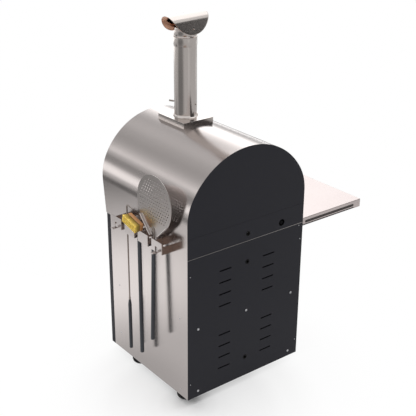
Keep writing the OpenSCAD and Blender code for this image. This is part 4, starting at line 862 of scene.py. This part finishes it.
def makeBristles():
    # tufts of thin three-sided wires, splayed a little and trimmed almost level
    b = brush
    long, high, deep, edge = b["long"], b["high"], b["rowDepth"], 0.5
    radius, narrow = b["wireRadius"], b["wireTip"]
    (splayY, splayZ), (strayY, strayZ) = b["splay"], b["stray"]
    mesh = bmesh.new()
    for i in range(b["columns"]):
        for k in range(b["rows"]):
            y0 = -long + (i + 0.5) * long / b["columns"]
            z0 = (k + 0.5) * high / b["rows"]
            for _ in range(b["wires"]):
                y = y0 + seed.uniform(-0.5, 0.5) * long / b["columns"]
                z = z0 + seed.uniform(-deep, deep)
                y = min(max(y, -long + edge), -edge)
                z = min(max(z, edge), high - edge)
                reach = b["bristle"] * seed.uniform(*b["trim"])
                tipY = y + splayY * (y + long / 2) + seed.uniform(-strayY, strayY)
                tipZ = z + splayZ * (z - high / 2) + seed.uniform(-strayZ, strayZ)
                turn = seed.uniform(0, 2)
                base, tip = [], []
                for c in range(3):
                    angle = turn + c * 2 * math.pi / 3
                    dy, dz = radius * math.cos(angle), radius * math.sin(angle)
                    base.append(mesh.verts.new(span(0, y + dy, z + dz)))
                    tip.append(mesh.verts.new(span(reach, tipY + dy * narrow, tipZ + dz * narrow)))
                for c in range(3):
                    mesh.faces.new((base[c], base[(c + 1) % 3], tip[(c + 1) % 3], tip[c]))
                mesh.faces.new(tip)
                mesh.faces.new(base[::-1])
    data = bpy.data.meshes.new("brushBristles")
    mesh.normal_update()
    mesh.to_mesh(data)
    mesh.free()
    # painted shade: 1 at a wire's root and 0 at its tip
    shades = [1, 0] * (len(data.vertices) // 2)
    data.attributes.new("paintedRootShade", "FLOAT", "POINT").data.foreach_set("value", shades)
    piece = newObject("brushBristles", data)
    # painted shade: a dark bed at the bristles' roots, where shade falls between the wires
    bed = addBlock("bristleBed", span(0, -long, 0), span(3, 0, high))
    bevelEdges(bed, b["rounding"], 5, lambda e: runs(e, "x"))
    bed.data.transform(brushPlace)
    finish(bed, "bristleRoot", "brush", "bristle_brass")
    mendFaces(piece, doubles=False)
    piece.data.transform(brushPlace)
    finish(piece, "bristleWire", "brush", "bristle_brass", "brush_bristles")


def makeBrushStrap():
    low, high = at(*brush["strapLow"]), at(*brush["strapHigh"])
    piece = addBlock("brushStrap", low, high)
    bevelEdges(piece, brush["strapCorner"], 5, lambda e: runs(e, "x") and middle(e).z > (low.z + high.z) / 2)
    roundEdges(piece, 0.5, 2, lambda e: sharp(e, 1.2))
    finish(smooth(piece), "toolSteel", "brush", "tool_steel", "brush_strap")


def makeBrushHandle():
    _, low, z = brush["strapLow"]
    _, high, _ = brush["strapHigh"]
    grip = gripRings(brush["gripLong"], brush["gripRadius"])
    piece = turned("brushHandle", grip, at(brush["gripX"], (low + high) / 2, z), sides=40)
    finish(smooth(piece), "gripPlastic", "brush", "grip_black", "brush_handle")


makeBrushBack()
makeBristles()
makeBrushStrap()
makeBrushHandle()


poker = {"x": 440, "y": -109, "topZ": 1048, "lowZ": 470, "bend": 10, "radius": 4.25, "hookDrop": 8,
         "hookLong": 48, "hookTaper": ((0.5, 3.0), (0.85, 2.2), (1, 1.6)), "collarZ": 943.4, "gripLong": 320,
         "gripRadius": 10}


def tube(name, points, radii, sides=24):
    # a round bar along a smooth path
    curve = bpy.data.curves.new(name, "CURVE")
    curve.dimensions = "3D"
    curve.bevel_depth = 1.0
    curve.bevel_resolution = sides // 4 - 1
    curve.use_fill_caps = True
    spline = curve.splines.new("POLY")
    spline.points.add(len(points) - 1)
    for point, where, radius in zip(spline.points, points, radii):
        point.co = (*where, 1)
        point.radius = mm(radius)
    selectOnly(newObject(name, curve))
    bpy.ops.object.convert(target="MESH")
    return mendFaces(bpy.context.active_object)


def makePoker():
    p = poker
    x, y, low, bend = p["x"], p["y"], p["lowZ"], p["bend"]
    top = p["topZ"] - bend
    points = [at(x, y, z) for z in (low + 2, low + 200, low + 400, top)]
    radii = [p["radius"]] * 4
    drop = math.radians(p["hookDrop"])
    for k in range(1, 9):
        angle = (math.pi / 2 + drop) * k / 8
        points.append(at(x, y + bend - bend * math.cos(angle), top + bend * math.sin(angle)))
        radii.append(p["radius"] - 0.1 * k)
    end = Vector(points[-1])
    along = Vector((0, math.cos(drop), -math.sin(drop)))
    for share, radius in p["hookTaper"]:
        points.append(end + along * mm(p["hookLong"]) * share)
        radii.append(radius)
    collar = [(4.3, 0), (20.8, 0), (22, 0.8), (22, 3.0), (20.8, 4), (6.4, 4), (6, 5.6), (4.6, 6)]
    ferrule = [(4.4, 0), (5.6, 0), (5.6, 13), (4.6, 14)]
    parts = [tube("pokerRod", points, radii), turned("pokerCollar", collar, at(x, y, p["collarZ"]), sides=48),
             turned("pokerFerrule", ferrule, at(x, y, low - 1), sides=32)]
    finish(smooth(joined("pokerRod", parts)), "toolSteel", "poker", "tool_steel", "poker_rod")
    r, end = p["gripRadius"], -p["gripLong"]
    rings = [(4.6, 0), (5.6, -1), (6.4, -6), (8.6, -22), (r - 0.4, -30), (r, -38), *ribRings(r, -52, 8, 4),
             (r, end + 22), (r - 0.2, end + 6), (r - 1.2, end + 1.4), (r - 3, end)]
    grip = turned("pokerHandle", rings, at(x, y, low), sides=40)
    finish(smooth(grip), "gripPlastic", "poker", "grip_black", "poker_handle")


makePoker()
print("tools made")


shelf = {"outerX": -883, "wallX": -402, "edgeX": -410, "frontY": -328, "backY": 364, "topZ": 905,
         "lowZ": 857, "thick": 2, "bend": 3, "slotLow": 871.4, "slotHigh": 15.5, "slotOuter": -828,
         "slotInner": -436, "notch": 9, "edgeTop": 899, "cutY": 800, "cutX": -380, "cutDrop": 5}


def makeShelfTop():
    s = shelf
    far, below = s["cutY"], s["lowZ"] - s["cutDrop"]  # the cutters reach past the sheet
    outer, wall = at(s["outerX"], s["frontY"], s["lowZ"]), at(s["wallX"], s["backY"], s["topZ"])
    piece = addBlock("shelfTop", outer, wall)
    openPiece(piece)
    pick(piece, "faces", lambda face: face.normal.z < -0.9 or face.normal.x > 0.9)
    bpy.ops.mesh.delete(type="FACE")
    closePiece()

    def folded(edge):
        spot = middle(edge)
        if runs(edge, "z"):
            return spot.x < outer.x + 1e-4
        return spot.z > wall.z - 1e-5 and spot.x < wall.x - 1e-4

    bevelEdges(piece, s["bend"], 5, folded)
    thickenSheet(mendFaces(piece, doubles=False), s["thick"], -1)
    slotTop = s["slotLow"] + s["slotHigh"]
    slot = addBlock("slotCutter", at(s["slotOuter"], -far, s["slotLow"]), at(s["slotInner"], far, slotTop))
    carve(piece, bevelEdges(slot, s["slotHigh"] / 2 * 0.98, 8, lambda e: runs(e, "y", 100)))
    low, high = at(s["slotOuter"] - s["notch"], -far, below), at(s["cutX"], far, s["lowZ"] + s["notch"])
    notch = addBlock("notchCutter", low, high)
    openPiece(notch)
    pick(notch, "verts", lambda v: v.co.z > mm(s["lowZ"]) and v.co.x < at(s["slotOuter"], 0, 0).x)
    bpy.ops.transform.translate(value=span(s["notch"], 0, 0))
    closePiece()
    carve(piece, notch)
    carve(piece, addBlock("gapCutter", at(s["edgeX"], -far, below), at(s["cutX"], far, s["edgeTop"])))
    finish(evened(easeEdges(piece, 0.35)), "shelfSteel", "shelf", "shelf_steel", "shelf_top")


makeShelfTop()
for name, node, body in (("shelfFrame", "shelf_frame", "shelf"),
                         ("shelfBrackets", "shelf_brackets", "stand")):
    finish(softened(name, node, 0.8), "framePowder", body, "frame_black", node)
print("shelf made")


# each bar's profile runs from its straight part to its end; the posts stand at the reach from its middle
handles = {"door": {"way": (0, 0, 1), "x": 46, "y": -417, "z": upCabinet(0.647), "reach": 128,
                    "bar": [(6, 157.5), (4.8, 159.4), (3, 160)],
                    "post": [(4.6, 0), (4.6, 3), (5, 26), (7.5, 31), (8.5, 32.4), (8.5, 34)]},
           "oven": {"way": (1, 0, 0), "x": 0, "y": -421.3, "z": 1144, "reach": 96,
                    "bar": [(7, 116.5), (6, 119), (4, 120)],
                    "post": [(4.6, 0), (5, 18), (7, 22), (8, 23.4), (8, 25)]}}


def makeBarHandle(kind, side, name, body, node):
    h = handles[kind]
    way, centre = h["way"], at(side * h["x"], h["y"], h["z"])
    bar = [(radius, -far) for radius, far in h["bar"][::-1]] + h["bar"]
    parts = [turned(name, bar, centre, way, 40)]
    for reach in (-h["reach"], h["reach"]):
        parts.append(turned("post", h["post"], centre + mm(reach) * Vector(way), (0, 1, 0), 32))
    finish(smooth(joined(name, parts)), "barSteel", body, "bar_steel", node)


doors = (("Right", "cabinet_door_right", "door_right"), ("Left", "cabinet_door_left", "door_left"))
for label, node, body in doors:
    finish(softened("cabinetDoor" + label, node, 1.0, 3), "panelPowder", body, "panel_black", node)
makeBarHandle("door", 1, "doorHandleRight", "door_right", "door_handle_right")
makeBarHandle("door", -1, "doorHandleLeft", "door_left", "door_handle_left")
dress("knobPlastic", "magnet_catches")


finish(softened("ovenDoor", "oven_door", 0.8, 3), "wrapSteel", "oven_door", "wrap_steel", "oven_door")
dress("vaultSteel", "oven_door_liner")
dress("windowGlass", "oven_door_glass")
for label in ("Right", "Left"):
    node = "hearth_stone_" + label.lower()
    finish(softened("hearthStone" + label, node, 1.5), "hearthStone", "stand", "hearth", node)


dial = {"z": 1285, "y": -372, "radius": 26, "marks": 25, "sweep": 270, "markRadius": 5, "longMark": 4.2,
        "shortMark": 2.2, "needleDegrees": -118}


def makeThermometer():
    d = dial
    r = d["radius"]
    centre = at(0, d["y"], d["z"])

    def onDial(piece, degrees):  # turns a mark or the needle round the dial
        piece.data.transform(Matrix.Translation(centre) @ Matrix.Rotation(math.radians(degrees), 4, "Y"))
        return piece

    rings = [(r - 1, 0), (r, 0.6), (r, 5.2), (r - 0.8, 6.6), (r - 2.2, 7), (r - 3, 6.6), (r - 3.4, 5.2),
             (r - 3.5, 4.6)]
    case = turned("thermometerCase", rings, centre, (0, -1, 0))
    probe = turned("probe", [(4, 0), (4, 96), (3, 99), (1.5, 100)], centre, (0, 1, 0), 24)
    finish(smooth(joined("thermometerCase", [case, probe])), "barSteel", "stand", "dial_face", "thermometer")
    face = turned("thermometerFace", [(r - 3.6, 4.6), (r - 3.6, 4.9)], centre, (0, -1, 0))
    finish(face, "dialPaint", "stand", "dial_face")
    marks = []
    for k in range(d["marks"]):
        long = d["longMark"] if k % 4 == 0 else d["shortMark"]
        top = r - d["markRadius"]
        mark = addBlock("mark", span(-0.3, -5.1, top - long), span(0.3, -4.88, top))
        marks.append(onDial(mark, -d["sweep"] / 2 + d["sweep"] * k / (d["marks"] - 1)))
    finish(joined("thermometerMarks", marks), "markPaint", "stand", "dial_face")
    needle = taperTop(addBlock("thermometerNeedle", span(-0.7, -5.9, -5), span(0.7, -5.5, 16)), (0.3, 1), 16)
    hub = turned("hub", [(2.2, -4.9), (2.2, -6.1), (1.4, -6.5)], Vector(), sides=24)
    hub.data.transform(Matrix.Rotation(math.radians(-90), 4, "X"))
    needle = onDial(joined("thermometerNeedle", [needle, hub]), d["needleDegrees"])
    finish(smooth(needle), "needlePaint", "stand", "dial_face")


controls = {"y": -372, "z": 936, "knobX": -300, "buttonX": 300, "grooves": 12, "grooveDepth": 0.035}


def makeKnob():
    c = controls
    rings = [(20, 0), (22, 0.8), (22, 3), (21.6, 4), (19.4, 15), (18.6, 18), (17, 19.5), (14, 20)]
    body = turned("burnerKnob", rings, Vector(), sides=72)
    for vert in body.data.vertices:  # finger grooves round the skirt
        if vert.co.xy.length > mm(18) and mm(3.5) < vert.co.z < mm(18.5):
            angle = math.atan2(vert.co.y, vert.co.x)
            vert.co.xy *= 1 - c["grooveDepth"] * max(0, math.cos(angle * c["grooves"])) ** 2
    ridge = roundEdges(addBlock("ridge", span(-3.2, -17.6, 13), span(3.2, 17.6, 26)), 1.6, 3)
    piece = place(joined("burnerKnob", [body, ridge]), at(c["knobX"], c["y"] - 0.3, c["z"]), (0, -1, 0))
    finish(smooth(piece), "knobPlastic", "knob", "knob_black", "burner_knob")
    corner = at(c["knobX"], c["y"], c["z"])
    mark = addBlock("knobMark", corner + span(-0.7, -26.6, 8), corner + span(0.7, -26.1, 16))
    finish(roundEdges(mark, 0.1, 1), "dialPaint", "knob", "dial_face")


def makeIgniter():
    c = controls
    rings = [(3, 28), (3, 0), (3, -4.3), (6.4, -4.3), (7, -4.9), (7, -7.6), (6.2, -8.7), (4, -9)]
    piece = turned("igniterButton", rings, at(c["buttonX"], c["y"], c["z"]), (0, 1, 0), 40)
    finish(smooth(piece), "buttonPlastic", "igniter", "button_red", "igniter_button")


makeBarHandle("oven", 1, "ovenDoorHandle", "oven_door", "oven_door_handle")
makeThermometer()
makeKnob()
makeIgniter()
print("front made")


studio = {
    "middle": (0.19, 0.03, 1.2), "floorSize": 60, "floorTone": 0.75, "floorReach": 5.0, "worldStrength": 0.8,
    "keyWatts": 260, "fillWatts": 70, "lampTarget": (0.2, 0, 1.0), "nearCorner": (0.57, 0.40),
    "warmSpot": ((1.9, 1.9), 1.6), "warmTone": (1.0, 0.70, 0.54, 1),
    # share of white that the camera sees, by the distance from the near corner in floorReach
    "fadeStops": ((0.01, 0.0), (0.024, 0.28), (0.036, 0.44), (0.056, 0.52), (0.08, 0.55), (0.11, 0.72),
                  (0.16, 0.92), (0.28, 1.0)),
    # what reflections see of the floor, by the distance from the body's middle, and spots that change it
    "floorStops": ((0.09, 0.62), (0.14, 0.77), (0.2, 0.82), (0.32, 0.82), (0.44, 0.86), (0.56, 0.66),
                   (0.7, 0.64)),
    "dimEdge": 0.42, "litEdge": 0.2, "warmEdge": 0.3,
    "dimSpots": (((2.7, -3.1), 1.4, 0.2), ((6.2, 0.3), 4.3, 0.36), ((-3.7, -5.2), 1.8, 0.3),
                 ((-0.6, 2.2), 1.3, 0.3), ((1.9, 1.9), 1.3, 0.35), ((-4.1, -4.1), 1.7, 0.4)),
    "litSpots": (((1.1, -1.1), 0.95, 0.55), ((-2.0, 1.7), 0.9, 0.45), ((-6.0, -0.9), 1.2, 0.7),
                 ((0.5, 6.1), 1.6, 0.2)),
    # the card in front: width, height, the height of its middle and of the point its tones turn round
    "arcCard": (18.0, 8.7, 4.6, 1.25), "arcBrightest": 2.5,
    "arcTones": ((0, 1.6), (5, 1.3), (12, 0.40), (25, 0.38), (31, 0.62), (36.7, 1.3), (43, 0.85), (52, 0.6),
                 (61, 0.52), (73, 0.6), (90, 0.76), (100, 0.72), (109, 0.62), (120, 0.8), (131, 1.3),
                 (143, 2.3), (159, 2.3), (165, 1.1), (170, 0.5), (180, 0.35))}
camera = {"place": (2773.45, 3571.97, 2930.83), "lens": 881.634 / 416 * 36, "sensor": 36,
          "right": (-0.7886491, 0.6148041, 0.0069558), "up": (-0.2416583, -0.3203538, 0.9159556),
          "forward": (-0.5653616, -0.7206867, -0.4012192)}


def rampNode(tree, value, stops):  # a smooth tone along a value from 0 to 1
    node = newNode(tree, "ValToRGB", Fac=value)
    ramp = node.color_ramp
    ramp.interpolation = "EASE"
    while len(ramp.elements) < len(stops):
        ramp.elements.new(0.5)
    for element, (spot, tone) in zip(ramp.elements, stops):
        element.position = spot
        element.color = (tone, tone, tone, 1)
    return node.outputs["Color"]


def spotNode(tree, centre, reach, *stops):  # a tone by the distance from a spot on the floor, 1 at the reach
    node = newNode(tree, "VectorMath")
    node.operation = "DISTANCE"
    feedSocket(tree, objectPlace(tree), node.inputs[0])
    feedSocket(tree, (*centre[:2], 0), node.inputs[1])
    return rampNode(tree, mathNode(tree, "DIVIDE", node.outputs["Value"], reach), stops)


def clearedTree(owner):
    owner.use_nodes = True
    owner.node_tree.nodes.clear()
    return owner.node_tree


def showMix(tree, kind, share, first, second):  # a share of the second shader over the first
    mix = newNode(tree, "MixShader")
    for value, socket in zip((share, first.outputs[0], second.outputs[0]), mix.inputs):
        feedSocket(tree, value, socket)
    newNode(tree, kind, Surface=mix.outputs[0])


def makeWorld():
    world = bpy.data.worlds.new("studio")
    bpy.context.scene.world = world
    tree = clearedTree(world)
    soft = newNode(tree, "Background", Color=(1, 1, 1, 1), Strength=studio["worldStrength"])
    white = newNode(tree, "Background", Color=(1, 1, 1, 1))
    path = newNode(tree, "LightPath").outputs
    seen = mathNode(tree, "MAXIMUM", path["Is Camera Ray"], path["Is Glossy Ray"])
    seen = mathNode(tree, "MAXIMUM", seen, path["Is Transmission Ray"])
    showMix(tree, "OutputWorld", seen, soft, white)


def makeFloor():
    # the paper fades to white with distance; reflections see it unevenly lit, as in the photo's studio
    s = studio
    floor = addPlane("studioFloor", s["floorSize"])
    material = bpy.data.materials.new("floorPaper")
    tree = clearedTree(material)
    path = newNode(tree, "LightPath").outputs
    fade = spotNode(tree, s["nearCorner"], s["floorReach"], *s["fadeStops"])
    mirror = mathNode(tree, "MAXIMUM", path["Is Glossy Ray"], path["Is Transmission Ray"])
    share = mathNode(tree, "MAXIMUM", mathNode(tree, "MULTIPLY", fade, path["Is Camera Ray"]), mirror)
    shade = spotNode(tree, s["middle"], s["floorReach"], *s["floorStops"])
    for centre, reach, tone in s["dimSpots"]:
        shade = mathNode(tree, "MULTIPLY", shade, spotNode(tree, centre, reach, (s["dimEdge"], tone), (1, 1)))
    for centre, reach, tone in s["litSpots"]:
        shade = mathNode(tree, "ADD", shade, spotNode(tree, centre, reach, (s["litEdge"], tone), (1, 0)))
    warm = mathNode(tree, "MULTIPLY", mirror, spotNode(tree, *s["warmSpot"], (s["warmEdge"], 1), (1, 0)))
    paper = newNode(tree, "BsdfDiffuse", Color=(*[s["floorTone"]] * 3, 1))
    glow = newNode(tree, "Emission", Strength=mathNode(tree, "MAXIMUM", path["Is Camera Ray"], shade),
                   Color=mixNode(tree, warm, (1, 1, 1, 1), s["warmTone"]))
    showMix(tree, "OutputMaterial", share, paper, glow)
    floor.data.materials.append(material)


def addCard(name, where, size, target, strength):
    # a card that only reflections see
    card = addPlane(name)
    card.scale = (*size, 1)
    settle(card)
    look = (Vector(target) - Vector(where)).to_track_quat("Z", "Y").to_matrix().to_4x4()
    card.matrix_world = Matrix.Translation(Vector(where)) @ look
    material = bpy.data.materials.new(name)
    tree = clearedTree(material)
    glow = newNode(tree, "Emission", Strength=strength)
    newNode(tree, "OutputMaterial", Surface=glow.outputs[0])
    card.data.materials.append(material)
    card.visible_camera = card.visible_diffuse = card.visible_shadow = card.visible_transmission = False
    return tree, glow


def makeArcCard():
    # in front of the object: the tone turns round a middle, which gives the hood bands along its length
    wide, high, middleZ, turnZ = studio["arcCard"]
    bright, x = studio["arcBrightest"], studio["middle"][0]
    tree, glow = addCard("arcCard", (x, -6, middleZ), (wide, high), (x, 0, middleZ), bright)
    axis = newNode(tree, "SeparateXYZ", Vector=objectPlace(tree)).outputs
    lift = mathNode(tree, "ADD", axis["Y"], middleZ - turnZ)
    turn = mathNode(tree, "ARCTAN2", lift, mathNode(tree, "MULTIPLY", axis["X"], -1))
    stops = [(angle / 180, tone / bright) for angle, tone in studio["arcTones"]]
    tone = rampNode(tree, mathNode(tree, "DIVIDE", turn, math.pi), stops)
    feed(tree, glow, Strength=mathNode(tree, "MULTIPLY", tone, bright))


def addLamp(name, where, size, watts):
    lamp = bpy.data.lights.new(name, "AREA")
    lamp.shape = "SQUARE"
    lamp.size = size
    lamp.energy = watts
    holder = newObject(name, lamp)
    holder.location = where
    holder.rotation_euler = (Vector(studio["lampTarget"]) - Vector(where)).to_track_quat("-Z", "Y").to_euler()
    holder.visible_glossy = False  # the cards stand for what metal sees


def makeCamera():
    lens = bpy.data.cameras.new("camera")
    lens.sensor_width = camera["sensor"]
    lens.lens = camera["lens"]
    lens.clip_end = 200
    holder = newObject("camera", lens)
    axes = (Vector(camera["right"]), Vector(camera["up"]), -Vector(camera["forward"]))
    holder.matrix_world = Matrix.Translation(at(*camera["place"])) @ Matrix(axes).transposed().to_4x4()
    bpy.context.scene.camera = holder


makeWorld()
makeFloor()
makeArcCard()
addCard("skyCard", (-3.2, -2.0, 6.0), (3.6, 6.0), (-3.2, -2.0, 0), 1.9)
addCard("darkCard", (-3.2, 4.9, 3.1), (5, 3.8), studio["middle"], 0.07)
addLamp("keyLamp", (-1.0, -0.8, 5.9), 5.0, studio["keyWatts"])
addLamp("fillLamp", (3.6, 1.4, 3.0), 3.5, studio["fillWatts"])
makeCamera()
bpy.context.scene.view_settings.view_transform = "Standard"
print("studio made")
